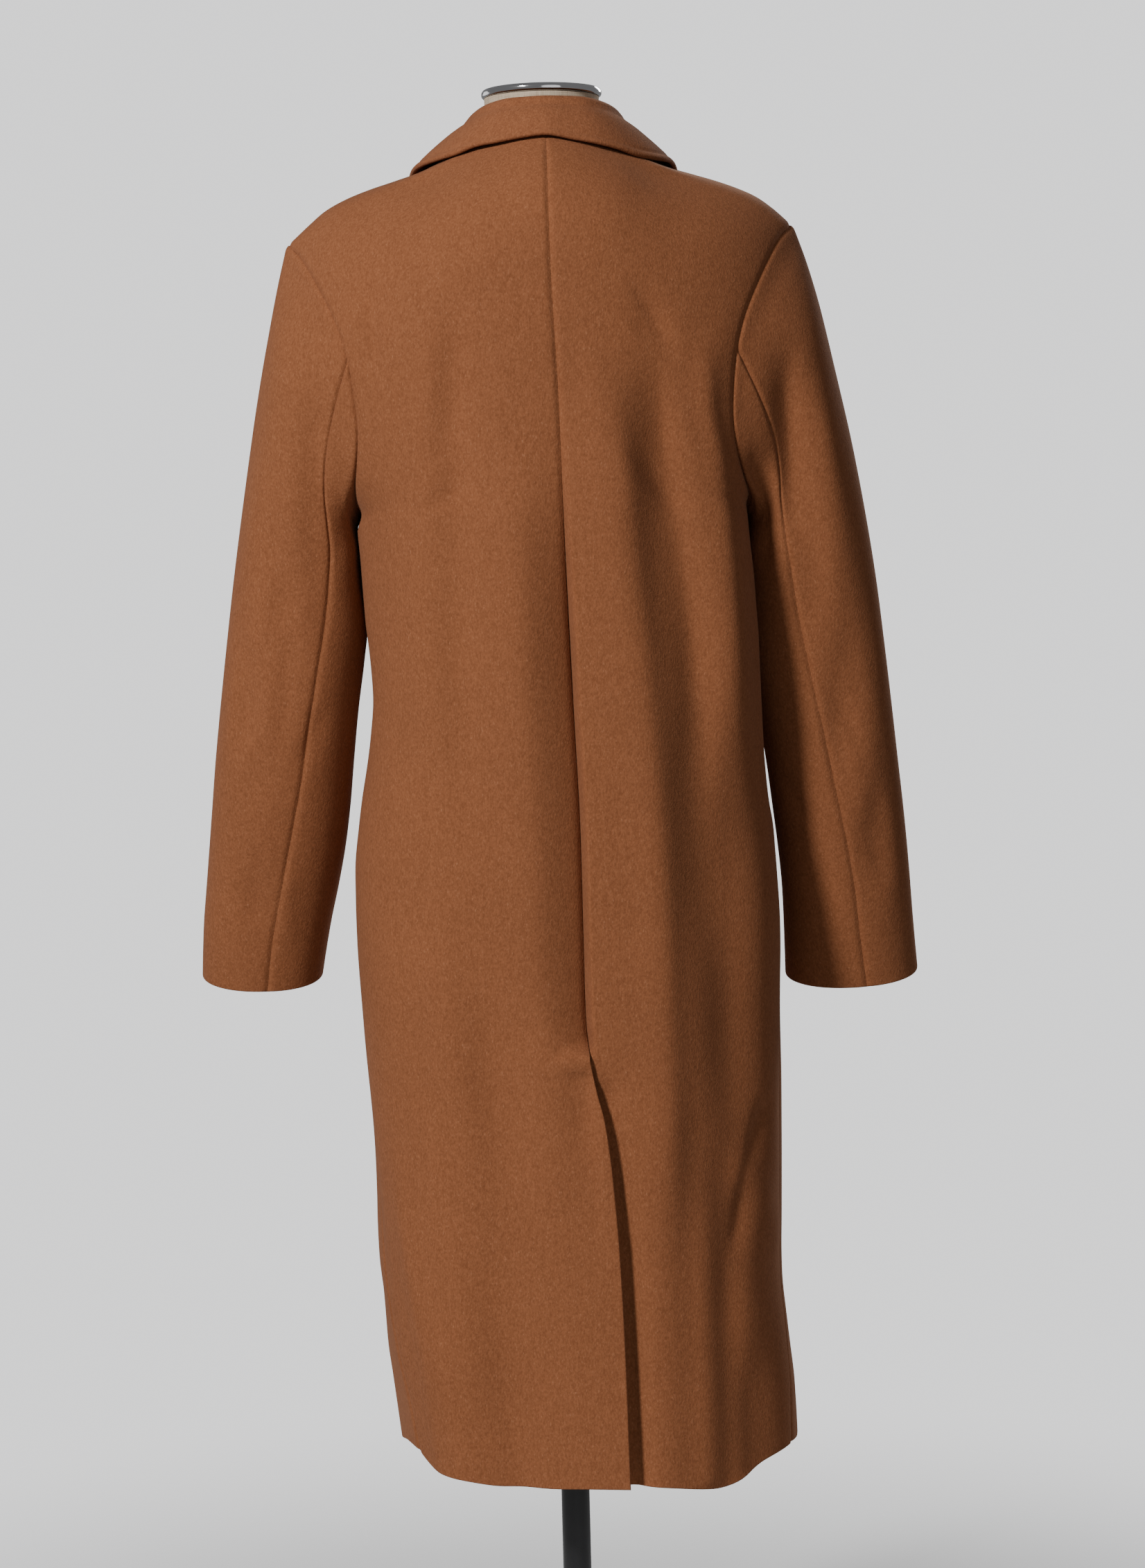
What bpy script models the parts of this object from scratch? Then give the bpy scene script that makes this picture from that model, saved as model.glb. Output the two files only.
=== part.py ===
"""A brown wool long coat on a limbless dress form with a round stand.

World frame: metres, +Z up, the origin on the floor under the middle of the stand's foot.
The coat's front looks along -Y and its back along +Y; the wearer's left is +X.
Every size and every table below is in millimetres, and every angle in degrees.

The body of the coat is one skin, read at a level and a turn. The turn runs round the body:
0 at the centre back, 90 at the wearer's left side, 180 at the centre front, -90 at the right
side. The level is the height up to the underarm. Above it the rows bend over the shoulders,
until the last one is the shoulder seam. Each cut piece is a wall between that skin, moved
outward by the folds, and the same skin one cloth thickness further in.
"""
import math
from collections import namedtuple

import bmesh
import bpy
import numpy as np

MM = 0.001

# ---- driving sizes ----
CLOTH = 2.6                # felted wool coating
SEAM_GAP = 0.3             # clear gap between two sewn pieces
LAID_GAP = 1.0             # clear gap under a piece that lies on another
HEM = 332.0                # level of the hem
UNDERARM = 1155.0          # level where the side seam meets the armhole
YOKE_START = 1369.0        # level where the rows start to bend over the shoulder
SHOULDER_SEAM = 1575.0     # level of the last row, the shoulder seam
ROLL_DEPTH = 129.0         # height over which the back bends forward to the shoulder seam
BODY_COLUMNS = 8           # strips across each half of the back and of the front
NECK_HALF_WIDTH = 78.0     # neckline, out to the shoulder seam
NECK_DEPTH = 73.0          # neckline, back to the centre back
OVERLAP = 30.0             # each front runs this far past the centre front
LAP_STEP = CLOTH + 1.9     # how far the left front stands over the right one
LAP_BEND = 12.0            # half the width over which the fronts step past each other
LAP_MIDDLE = 20.0          # where that step lies, left of the centre front
VENT_TOP = 694.0           # the back is sewn down to this level, and open below it
UNDERLAP = 40.0            # the right back runs this far under the left one in the vent
UNDERLAP_RUN = 40.0        # height over which the underlap reaches its full width
FLAP_REACH = 80.0          # the vent's flap lifts off over this width
UNDERLAP_DIP = 3.0         # the underlap lies this much deeper
ROLL_OVERHANG = 1.2        # the folded lapel stands this far past the front's edge
LAPEL_CLEARANCE = 7.0      # the right lapel keeps this far from the left front's edge
LAPEL_GAP = 1.7            # the folded lapel stands this far off the front
LAPEL_CLOTH = 4.2          # front and facing together
COLLAR_GAP = 2.0           # the fall's edge stands this far off the shoulders
COLLAR_CLOTH = 4.0
COLLAR_FOLD = 9.0          # distance between the stand and the fall at the fold
BUTTON_RADIUS = 14.0
BUTTON_THICKNESS = 4.5
BUTTON_LEVELS = (1160.0, 1035.0, 910.0)
WELT_CLOTH = 3.0
WELT_LENGTH = 165.0
WELT_WIDTH = 30.0
WELT_TOP = (108.0, 1055.0)     # distance from the centre front, and level
WELT_BOTTOM = (136.0, 905.0)
WELT_ROWS, WELT_COLUMNS = 7, 3
POLE_RADIUS = 12.5
BASE_RADIUS = 165.0
BASE_THICKNESS = 9.0
FORM_BOTTOM = 800.0
NECK_TOP = 1513.5
CAP_RADIUS = 52.0
CAP_THICKNESS = 7.0


class Table:
    """Named columns, read smoothly between the rows at any place along the first column."""

    def __init__(self, names, *rows):
        self.names = names.split()
        self.rows = np.array(rows, float)
        self.slopes = np.zeros_like(self.rows)
        steps = np.diff(self.rows[:, 0])
        for column in range(1, len(self.names)):
            rises = np.diff(self.rows[:, column]) / steps
            self.slopes[0, column] = rises[0]
            self.slopes[-1, column] = rises[-1]
            for k in range(1, len(rises)):
                if rises[k - 1] * rises[k] > 0:
                    self.slopes[k, column] = 2 * rises[k - 1] * rises[k] / (rises[k - 1] + rises[k])

    def at(self, name, place):
        column = self.names.index(name)
        places = self.rows[:, 0]
        place = min(max(place, places[0]), places[-1])
        k = min(int(np.searchsorted(places, place, side="right")) - 1, len(places) - 2)
        step = places[k + 1] - places[k]
        t = (place - places[k]) / step
        start, end = self.rows[k, column], self.rows[k + 1, column]
        rise_0, rise_1 = self.slopes[k, column] * step, self.slopes[k + 1, column] * step
        return ((2 * t**3 - 3 * t**2 + 1) * start + (t**3 - 2 * t**2 + t) * rise_0
                + (3 * t**2 - 2 * t**3) * end + (t**3 - t**2) * rise_1)


# Reach of the skin from the stand's axis to each side, and how square its rings are.
BODY = Table(
    "level  left   right  back   front  square",
    (332,   153,   198,   141,   172,   2.35),
    (380,   159,   197,   141,   170,   2.35),
    (430,   165,   192.5, 140,   168,   2.35),
    (500,   168,   186,   138,   165,   2.35),
    (600,   171,   187.5, 135,   160,   2.35),
    (700,   177.5, 189.5, 131,   157,   2.35),
    (790,   180.5, 192,   129,   154,   2.4),
    (850,   179.5, 189.5, 128,   152,   2.4),
    (900,   173.5, 186,   128,   150,   2.4),
    (950,   166,   183,   128,   148,   2.45),
    (1000,  161,   181.5, 129,   147,   2.5),
    (1045,  160,   181,   130,   147,   2.5),
    (1085,  162,   179,   132,   149,   2.5),
    (1115,  163.5, 177,   134,   151,   2.5),
    (1135,  164,   174,   135,   152,   2.5),
    (1155,  166,   172,   136,   153,   2.45),
    (1172,  171,   174,   136,   153,   2.35),
    (1193,  180,   178,   136.5, 154,   2.25),
    (1222,  191,   185,   137,   154,   2.15),
    (1260,  204,   196,   137.5, 153,   2.05),
    (1305,  216,   207,   137.5, 150,   2.0),
    (1345,  224,   215,   136.5, 146,   2.0),
    (1369,  227,   218,   135,   142,   2.0),
    (1575,  227,   218,   135,   142,   2.0),
)

# Height of the shoulder line, by the distance out from the stand's axis.
RIDGE = Table(
    "out    height",
    (0,     1499),
    (50,    1485),
    (78,    1468),
    (107,   1452.5),
    (129,   1446),
    (152.6, 1438.5),
    (171,   1431.5),
    (187,   1423.5),
    (200,   1413.5),
    (214,   1401.5),
    (223.5, 1394),
    (240,   1378),
)

# The centre back seam hangs to the wearer's right, the flap of the vent more so.
CENTRE_BACK = Table(
    "level  x",
    (332,   -47),
    (431,   -45.5),
    (530,   -42.6),
    (630,   -35),
    (694,   -22),
    (740,   -19),
    (875,   -18.5),
    (994,   -14.7),
    (1125,  -11),
    (1254,  -8.6),
    (1365,  -4.6),
    (1575,  -3),
)

# The hem line: how far it lies above or below its level, by the turn round the body.
HEM_LINE = Table(
    "turn   rise",
    (-200,  2),
    (-130,  2),
    (-95,   2.5),
    (-84,   6),
    (-72,   9.5),
    (-60,   7),
    (-54,   4),
    (-48,   -1),
    (-42,   -6),
    (-36,   -10),
    (-24,   -7.2),
    (-12,   -1.8),
    (0,     -0.5),
    (12,    -2),
    (24,    -2.3),
    (36,    2.5),
    (48,    5.5),
    (54,    9.2),
    (61,    17.5),
    (72,    18.2),
    (90,    9.5),
    (130,   2),
    (200,   2),
)
HEM_LINE_REACH = 200.0     # the rows level out over this height above the hem

# How far round the side seams lie.
SIDE_SEAM = Table(
    "level  left  right",
    (332,   61,   73),
    (380,   63,   75),
    (430,   66,   78),
    (480,   70.5, 81),
    (520,   75.5, 84),
    (600,   82,   86),
    (800,   87,   88),
    (1050,  89,   89),
    (1155,  90,   90),
)

# How far round, from the middle, the panels end at the armhole.
ARMHOLE = Table(
    "level  back  front",
    (1155,  90,   90),
    (1172,  78,   76),
    (1193,  67,   65),
    (1222,  58,   57),
    (1260,  52,   51.5),
    (1305,  49.5, 48.5),
    (1345,  48.6, 47.5),
    (1385,  51,   50),
    (1425,  57,   56),
    (1465,  63.5, 62.5),
    (1500,  69.5, 69),
    (1538,  76.8, 76.5),
    (1575,  79.8, 79.8),
)

# The left front's edge: straight to the top button, then up the roll line to the neck.
FRONT_EDGE = Table(
    "level  x",
    (332,   -30),
    (1100,  -30),
    (1189,  -30),
    (1225,  -18),
    (1260,  -3),
    (1319,  20.5),
    (1369,  38),
    (1428,  57),
    (1491,  72),
    (1575,  78),
)

# How far the edge of the vent's flap stands off the right back.
FLAP_LIFT = Table(
    "level  lift",
    (332,   12),
    (430,   10),
    (560,   7.5),
    (640,   5.6),
    (694,   4.4),
    (722,   0),
    (1575,  0),
)

# Folds of the body. The place across is x on the back and the front, y on a side.
# A plus height is a ridge, a minus height a trough. A fold whose lower end is at the hem
# runs out through it.
Fold = namedtuple("Fold", "face top bottom at_top at_bottom half_width height")
BODY_FOLDS = (
    Fold("back", 1190, 690, 0, 3, 21, -5.0),
    Fold("back", 1300, 600, -30, -37, 18, 2.5),
    Fold("back", 1345, 900, 86, 97, 30, -4.0),
    Fold("back", 1320, 780, 35, 40, 24, 2.5),
    Fold("back", 1375, 1250, 150, 144, 14, -3.0),
    Fold("back", 1280, 720, -78, -134, 24, -6.5),
    Fold("back", 1335, 880, -146, -158, 18, 4.0),
    Fold("back", 1345, 1275, -74, -110, 10, -2.0),
    Fold("back", 700, HEM, -72, -82, 24, 5.0),
    Fold("back", 680, HEM, -122, -130, 20, -5.5),
    Fold("back", 640, 510, -134, -184, 10, 3.0),
    Fold("back", 820, HEM, 62, 48, 30, -4.0),
    Fold("back", 900, HEM, 105, 92, 26, 4.0),
    Fold("left", 1165, 930, -8, -22, 62, -9.0),
    Fold("right", 1168, 890, -8, -24, 66, -21.0),
    Fold("left", 860, HEM, 20, 34, 26, -4.0),
    Fold("left", 820, HEM, -48, -60, 30, 4.5),
    Fold("right", 800, HEM, -30, -46, 32, 4.5),
    Fold("front", 1020, HEM, 92, 104, 30, 5.0),
    Fold("front", 900, HEM, 62, 66, 22, -4.5),
    Fold("front", 1000, HEM, -88, -98, 30, 4.5),
    Fold("front", 860, HEM, -58, -54, 22, -4.0),
    Fold("front", 1320, 1060, 112, 96, 24, -4.0),
    Fold("front", 1330, 1080, -108, -92, 22, -3.5),
)
FACE_FADE = 60.0           # a fold fades out over this depth as the body turns to the side
FOLD_END_SHARE = 0.35      # a fold that runs out through the hem starts over this share

# One row for each ring of a sleeve, from the armhole down to the cuff: the outer and the
# inner point of the ring, its middle and half its depth front to back, how far its back
# edge tips down, and how far round its back lies the seam of the hind arm.
SLEEVE_COLUMNS = ("ring outer_x outer_z inner_x inner_z middle_y half_depth pitch seam")
SLEEVES = {
    "left": Table(
        SLEEVE_COLUMNS,
        (0,  223.5, 1394, 163,   1155, -5,  91, 0,  126),
        (1,  231,   1364, 169.5, 1149, -5,  84, 0,  126),
        (2,  240,   1324, 172,   1139, -6,  77, 0,  125),
        (3,  251.5, 1269, 171,   1121, -7,  70, 0,  123),
        (4,  265,   1193, 166.5, 1096, -9,  64, 0,  120),
        (5,  279,   1108, 163.5, 1062, -12, 60, 3,  115),
        (6,  292,   1018, 171.5, 1008, -17, 58, 7,  111),
        (7,  302,   946,  180,   942,  -27, 55, 11, 107),
        (8,  309.5, 886,  187.5, 883,  -40, 53, 13, 101),
        (9,  315.5, 838,  197,   836,  -50, 50, 14, 98),
        (10, 321,   792,  208,   790,  -59, 47, 15, 97),
        (11, 324,   752,  216,   749,  -68, 45, 15, 97),
    ),
    "right": Table(
        SLEEVE_COLUMNS,
        (0,  214.5, 1400, 166,   1155, -5,  91, 0,  120),
        (1,  225,   1371, 171,   1149, -5,  84, 0,  118),
        (2,  237,   1330, 173,   1139, -7,  76, 0,  116),
        (3,  250.5, 1271, 171,   1121, -10, 69, 0,  112),
        (4,  267,   1193, 168.5, 1094, -14, 62, 0,  108),
        (5,  283,   1095, 168,   1055, -20, 58, 4,  104),
        (6,  293,   1009, 174,   1002, -27, 56, 8,  98),
        (7,  301,   936,  184.5, 934,  -37, 54, 11, 93),
        (8,  307,   882,  191.5, 878,  -47, 52, 13, 89),
        (9,  311.5, 833,  197,   829,  -56, 50, 14, 86),
        (10, 315,   787,  199,   783,  -64, 47, 15, 84),
        (11, 319,   743,  200,   739,  -72, 45, 15, 81),
    ),
}
SLEEVE_SQUARE = 2.15
SLEEVE_RINGS = (0, 0.5, 1, 1.5, 2, 2.6, 3.2, 3.8, 4.4, 5, 5.6, 6.3, 7, 7.7, 8.4, 9.1, 9.8, 10.4, 11)
ARMHOLE_FADE = 2.6         # rings over which the armhole's own outline fades into the tube
SEAM_SETTLE = 4.0          # rings over which the columns settle between the two seams
FOREARM_SEAM = 222.0       # the seam of the inner arm, counted round from the outer line
BODY_ROWS_ARMHOLE = (1155, 1172, 1193, 1222, 1260, 1305, 1345, 1385, 1425, 1465, 1500, 1538, 1575)
HIND_SEAM_LEVEL = 1345     # armhole row where the hind seam starts
FOREARM_SEAM_LEVEL = 1260  # armhole row where the inner seam starts

SleeveFold = namedtuple("SleeveFold", "side top bottom at_top at_bottom half_width height")
SLEEVE_FOLDS = (
    SleeveFold("left", 3.6, 6.2, 62, 92, 26, -4.5),
    SleeveFold("left", 5.4, 7.4, 40, 84, 20, -3.5),
    SleeveFold("left", 2.2, 6.4, 96, 88, 22, 2.5),
    SleeveFold("left", 4.6, 7.6, 200, 262, 30, -5.0),
    SleeveFold("left", 8.2, 10.2, 60, 92, 22, -2.5),
    SleeveFold("right", 1.4, 5.6, 88, 80, 24, -5.0),
    SleeveFold("right", 5.0, 7.4, 50, 96, 22, -4.0),
    SleeveFold("right", 6.8, 9.4, 44, 78, 20, -3.0),
    SleeveFold("right", 4.6, 7.6, 200, 262, 30, -5.0),
    SleeveFold("right", 2.0, 6.0, 122, 116, 20, 3.0),
)

# The left lapel: each row starts on the roll line and ends on the lapel's outer edge.
LAPEL = Table(
    "roll_level  edge_x  edge_level",
    (1193,       -27,    1190),
    (1228,       6,      1222),
    (1272,       37,     1262),
    (1325,       67,     1312),
    (1385,       96,     1369),
    (1418,       115.5,  1403),
    (1444,       124,    1425),
)
LAPEL_ROWS = 14
RIGHT_LAPEL_START = 1258   # the left front covers the right lapel up to this level
LAPEL_COLUMNS = 5

# One half of the collar, from the centre back round to its front end: the foot of the
# stand on the neckline, the fold at the top, and the edge of the fall.
COLLAR = Table(
    "place  foot_x  foot_y  foot_rise  fold_x  fold_y  fold_z  edge_x  edge_y",
    (0,     0,      74,     1.8,       0,      61,     1501.7, 0,      86),
    (1,     30,     68.5,   1.8,       27,     55.5,   1501.2, 34,     81.5),
    (2,     54,     54.5,   1.8,       46,     41.5,   1498.7, 64,     68),
    (3,     70.5,   32,     2.0,       58.5,   22,     1494.2, 89,     45),
    (4,     71,     2,      -1.5,      65,     -2,     1489,   106,    14),
    (5,     68.5,   -38,    -6,        69,     -40,    1476,   115,    -22),
    (6,     64,     -74,    -6,        66,     -76,    1459.5, 118,    -60),
    (6.6,   59.5,   -93,    -6,        62.5,   -95,    1445,   112,    -92),
    (7,     55.5,   -105,   -6,        59.5,   -106.5, 1433,   92,     -111.5),
)
COLLAR_PLACES = (0, 0.6, 1.2, 1.8, 2.4, 3, 3.5, 4, 4.5, 5, 5.5, 6, 6.3, 6.6, 7)
COLLAR_MIDDLE = -3.0       # behind, the neck stands this far to the wearer's right

# The dress form, as level sections.
FORM = Table(
    "height    half_x  back   front  square",
    (800,      142,    98,    112,   2.3),
    (815,      148,    102,   118,   2.3),
    (900,      150,    104,   120,   2.3),
    (1000,     132,    94,    112,   2.2),
    (1060,     126,    92,    114,   2.2),
    (1130,     138,    98,    126,   2.2),
    (1200,     150,    104,   132,   2.2),
    (1270,     164,    104,   126,   2.2),
    (1330,     184,    94,    108,   2.1),
    (1370,     196,    80,    90,    2.0),
    (1390,     197,    68,    76,    2.0),
    (1404,     191,    58,    66,    2.0),
    (1416,     181,    50,    58,    2.0),
    (1427.5,   164,    45,    53,    2.0),
    (1437.2,   144,    40,    48,    2.0),
    (1442.6,   121,    41,    49,    2.0),
    (1448.6,   100,    44,    51,    2.0),
    (1458,     74,     48,    52,    2.0),
    (1472,     57,     48.5,  50,    2.0),
    (1490,     50.5,   49.5,  49.5,  2.0),
    (1513.5,   49.7,   49.7,  49.7,  2.0),
)
FORM_COLUMNS = 28

# ---- colours of the finishes ----
Finish = namedtuple("Finish", "name colour roughness metallic")
WOOL = Finish("brown_wool", (0.205, 0.105, 0.055), 0.95, 0.0)
WOOL_COLLAR = Finish("brown_wool_collar", (0.215, 0.11, 0.058), 0.95, 0.0)
LINEN = Finish("natural_linen", (0.62, 0.56, 0.46), 0.9, 0.0)
CHROME = Finish("bright_chrome", (0.82, 0.82, 0.84), 0.12, 1.0)
BLACK = Finish("black_enamel", (0.012, 0.012, 0.013), 0.35, 0.0)
HORN = Finish("dark_horn", (0.045, 0.026, 0.016), 0.35, 0.0)


# ---- small helpers ----
def smooth(t):
    """0 up to t = 0, 1 from t = 1, and a soft rise between."""
    t = min(max(t, 0.0), 1.0)
    return t * t * (3 - 2 * t)


def signed_power(value, power):
    return math.copysign(abs(value) ** power, value)


def unit(vector):
    return vector / np.linalg.norm(vector)


def material_for(finish):
    material = bpy.data.materials.get(finish.name)
    if material is None:
        material = bpy.data.materials.new(finish.name)
        material.use_nodes = True
        shader = material.node_tree.nodes["Principled BSDF"]
        shader.inputs["Base Color"].default_value = (*finish.colour, 1.0)
        shader.inputs["Roughness"].default_value = finish.roughness
        shader.inputs["Metallic"].default_value = finish.metallic
        material.diffuse_color = (*finish.colour, 1.0)
    return material


def add_object(name, points, faces, finish):
    """A named object from points in millimetres, its faces turned outward."""
    mesh = bpy.data.meshes.new(name)
    mesh.from_pydata([tuple(float(c) * MM for c in p) for p in points], [], faces)
    shape = bmesh.new()
    shape.from_mesh(mesh)
    bmesh.ops.recalc_face_normals(shape, faces=shape.faces)
    shape.to_mesh(mesh)
    shape.free()
    mesh.shade_smooth()
    mesh.set_sharp_from_angle(angle=math.radians(40))
    mesh.materials.append(material_for(finish))
    made = bpy.data.objects.new(name, mesh)
    bpy.context.scene.collection.objects.link(made)
    return made


def wall_object(name, outer, inner, finish):
    """The closed wall between two matching grids of points."""
    rows, columns = len(outer), len(outer[0])
    points = [p for grid in (outer, inner) for row in grid for p in row]
    depth = rows * columns

    def at(row, column, side):
        return side * depth + row * columns + column

    faces = []
    for r in range(rows - 1):
        for c in range(columns - 1):
            faces.append((at(r, c, 0), at(r, c + 1, 0), at(r + 1, c + 1, 0), at(r + 1, c, 0)))
            faces.append((at(r, c, 1), at(r + 1, c, 1), at(r + 1, c + 1, 1), at(r, c + 1, 1)))
    rim = [(0, c) for c in range(columns)]
    rim += [(r, columns - 1) for r in range(1, rows)]
    rim += [(rows - 1, c) for c in range(columns - 2, -1, -1)]
    rim += [(r, 0) for r in range(rows - 2, 0, -1)]
    for here, there in zip(rim, rim[1:] + rim[:1]):
        # Two pieces that meet at a seam split their side walls along the same diagonal.
        if here < there:
            faces.append((at(*here, 0), at(*here, 1), at(*there, 1)))
            faces.append((at(*here, 0), at(*there, 1), at(*there, 0)))
        else:
            faces.append((at(*here, 0), at(*here, 1), at(*there, 0)))
            faces.append((at(*here, 1), at(*there, 1), at(*there, 0)))
    return add_object(name, points, faces, finish)


def tube_object(name, rings, finish):
    """A closed solid through a stack of rings with the same number of points."""
    count = len(rings[0])
    points = [p for ring in rings for p in ring]
    faces = [tuple(range(count - 1, -1, -1))]
    for r in range(len(rings) - 1):
        for c in range(count):
            after = (c + 1) % count
            faces.append((r * count + c, r * count + after,
                          (r + 1) * count + after, (r + 1) * count + c))
    top = (len(rings) - 1) * count
    faces.append(tuple(range(top, top + count)))
    return add_object(name, points, faces, finish)


def turned_object(name, profile, segments, finish, centre=(0.0, 0.0)):
    """A solid turned round the vertical through centre, from (radius, height) points."""
    rings = []
    for radius, height in profile:
        ring = []
        for k in range(segments):
            turn = 2 * math.pi * k / segments
            ring.append((centre[0] + radius * math.cos(turn),
                         centre[1] + radius * math.sin(turn), height))
        rings.append(ring)
    return tube_object(name, rings, finish)


# ---- the skin of the body ----
def ridge_height(x):
    return RIDGE.at("height", abs(x))


def body_point(level, turn):
    """The plain skin, without folds."""
    left, right = BODY.at("left", level), BODY.at("right", level)
    power = 2 / BODY.at("square", level)
    across, along = math.sin(math.radians(turn)), math.cos(math.radians(turn))
    reach = BODY.at("back", level) if along > 0 else BODY.at("front", level)
    x = (left - right) / 2 + (left + right) / 2 * signed_power(across, power)
    y = reach * signed_power(along, power)
    if level <= UNDERARM:
        near_hem = 1 - smooth((level - HEM) / HEM_LINE_REACH)
        return np.array((x, y, level + HEM_LINE.at("rise", turn) * near_hem))
    bend_start = ridge_height(x) - ROLL_DEPTH
    if level <= YOKE_START:
        share = (level - UNDERARM) / (YOKE_START - UNDERARM)
        return np.array((x, y, UNDERARM + (bend_start - UNDERARM) * share))
    bend = math.radians(90 * (level - YOKE_START) / (SHOULDER_SEAM - YOKE_START))
    return np.array((x, y * math.cos(bend), bend_start + ROLL_DEPTH * math.sin(bend)))


def body_normal(level, turn):
    """Outward direction of the plain skin."""
    step = 0.6
    up = body_point(level + step, turn) - body_point(level - step, turn)
    if level - step < HEM:
        up = body_point(HEM + 2 * step, turn) - body_point(HEM, turn)
    if level + step > SHOULDER_SEAM:
        up = body_point(SHOULDER_SEAM - 0.01, turn) - body_point(SHOULDER_SEAM - 2 * step, turn)
    round_it = body_point(level, turn + step) - body_point(level, turn - step)
    return unit(np.cross(up, round_it))


def turn_at(x, level, face):
    """The turn at which the skin's row has the given x, on its back or its front."""
    left, right = BODY.at("left", level), BODY.at("right", level)
    share = (x - (left - right) / 2) / ((left + right) / 2)
    turn = math.degrees(math.asin(signed_power(share, BODY.at("square", level) / 2)))
    return turn if face == "back" else 180 - turn


def fold_height(point):
    """Sum of the folds at a point of the plain skin."""
    x, y, z = point
    total = 0.0
    for fold in BODY_FOLDS:
        if not fold.bottom <= z <= fold.top and not (fold.bottom == HEM and z < HEM):
            continue
        down = (fold.top - z) / (fold.top - fold.bottom)
        at = fold.at_top + (fold.at_bottom - fold.at_top) * down
        across = x if fold.face in ("back", "front") else y
        off = abs(across - at) / fold.half_width
        if off >= 1:
            continue
        if fold.face == "back":
            facing = smooth(y / FACE_FADE)
        elif fold.face == "front":
            facing = smooth(-y / FACE_FADE)
        elif fold.face == "left":
            facing = smooth((x - 80) / FACE_FADE)
        else:
            facing = smooth((-x - 80) / FACE_FADE)
        if fold.bottom == HEM:
            length = smooth(down / FOLD_END_SHARE)
        else:
            length = math.sin(math.pi * down) ** 0.75
        total += fold.height * (1 + math.cos(math.pi * off)) / 2 * facing * length
    return total


def front_lap(side):
    """How the left front steps over the right one beyond the centre front."""
    def lift(x, level):
        raised = LAP_STEP * smooth(0.5 + (LAP_MIDDLE - x) / LAP_BEND / 2)
        return raised if side == "left" else raised - LAP_STEP
    return lift


def back_lap(side):
    """The vent: the left back stands off, and the underlap of the right back lies deeper."""
    def lift(x, level):
        past = x - CENTRE_BACK.at("x", level)
        if side == "left":
            return FLAP_LIFT.at("lift", level) * (1 - smooth(past / FLAP_REACH))
        return -UNDERLAP_DIP * smooth(past / 25)
    return lift


def skin_pair(level, turn, lap):
    """Outer and inner point of the cloth, and the plain skin's outward direction."""
    plain = body_point(level, turn)
    normal = body_normal(level, turn)
    outer = plain + normal * (fold_height(plain) + lap(plain[0], level))
    return outer, outer - normal * CLOTH, normal


HALF_GAP = SEAM_GAP / 2
GAP_TURN = math.degrees(HALF_GAP / 150)      # half a seam gap, as a turn
GAP_LEVEL = 0.3                              # half a seam gap, as a level at the shoulder


def neckline_x(level):
    """Half the width of the back's neckline where a row of the skin meets it."""
    bend = math.radians(90 * (level - YOKE_START) / (SHOULDER_SEAM - YOKE_START))
    ratio = (BODY.at("back", level) * math.cos(bend) / NECK_DEPTH) ** 2
    if level < YOKE_START or ratio >= 1:
        return None
    reach = (BODY.at("left", level) + BODY.at("right", level)) / 2
    return math.sqrt((1 - ratio) / (1 / NECK_HALF_WIDTH**2 - ratio / reach**2))


def middle_turn(part, side, level):
    """The turn of a panel's edge next to the centre back or the centre front."""
    sign = 1 if side == "left" else -1
    if part == "front":
        edge = FRONT_EDGE.at("x", level)
        return turn_at(edge if side == "left" else -edge, level, "front")
    neck = neckline_x(level)
    seam = CENTRE_BACK.at("x", level)
    if neck is not None:
        return turn_at(COLLAR_MIDDLE + sign * (neck + HALF_GAP), level, "back")
    if side == "left":
        return turn_at(seam, level, "back") + GAP_TURN
    if level >= VENT_TOP:
        return turn_at(seam, level, "back") - GAP_TURN
    run = min((VENT_TOP - level) / UNDERLAP_RUN, 1.0)
    return turn_at(seam + UNDERLAP * run, level, "back")


def outer_turn(part, side, level, trim=GAP_TURN):
    """The turn of a panel's edge at the side seam or at the armhole."""
    sign = 1 if side == "left" else -1
    if level <= UNDERARM:
        seam = SIDE_SEAM.at(side, level)
        return sign * (seam - trim if part == "back" else seam + trim)
    away = ARMHOLE.at(part, level)
    return sign * away if part == "back" else sign * (180 - away)


def body_levels():
    """Rows of the body's panels, closer together round the vent's top and the armhole."""
    below = list(np.linspace(HEM, 645, 12)) + [668.0, VENT_TOP, 722.0]
    below += list(np.linspace(722, UNDERARM, 17))[1:-1]
    return below + [float(level) for level in BODY_ROWS_ARMHOLE]


def armhole_loop(side):
    """Levels and parts round the armhole: up the back to the shoulder, down the front."""
    loop = [("back", level) for level in BODY_ROWS_ARMHOLE]
    loop += [("front", level) for level in reversed(BODY_ROWS_ARMHOLE[1:-1])]
    return loop


def panel_lap(part, side):
    return back_lap(side) if part == "back" else front_lap(side)


def edge_point(part, side, level):
    """A point of the armhole, with the body's outward direction there."""
    turn = outer_turn(part, side, level, trim=0.0)
    outer, _, normal = skin_pair(level, turn, panel_lap(part, side))
    return outer, normal


# ---- the sleeves ----
def sleeve_ring(side, ring):
    """Middle of a sleeve's ring, its arm to the outer line and its arm to the back."""
    table = SLEEVES[side]
    sign = 1 if side == "left" else -1
    y = table.at("middle_y", ring)
    outer = np.array((sign * table.at("outer_x", ring), y, table.at("outer_z", ring)))
    inner = np.array((sign * table.at("inner_x", ring), y, table.at("inner_z", ring)))
    tip = math.radians(table.at("pitch", ring))
    back = table.at("half_depth", ring) * np.array((0, math.cos(tip), -math.sin(tip)))
    return (outer + inner) / 2, (outer - inner) / 2, back


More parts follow.
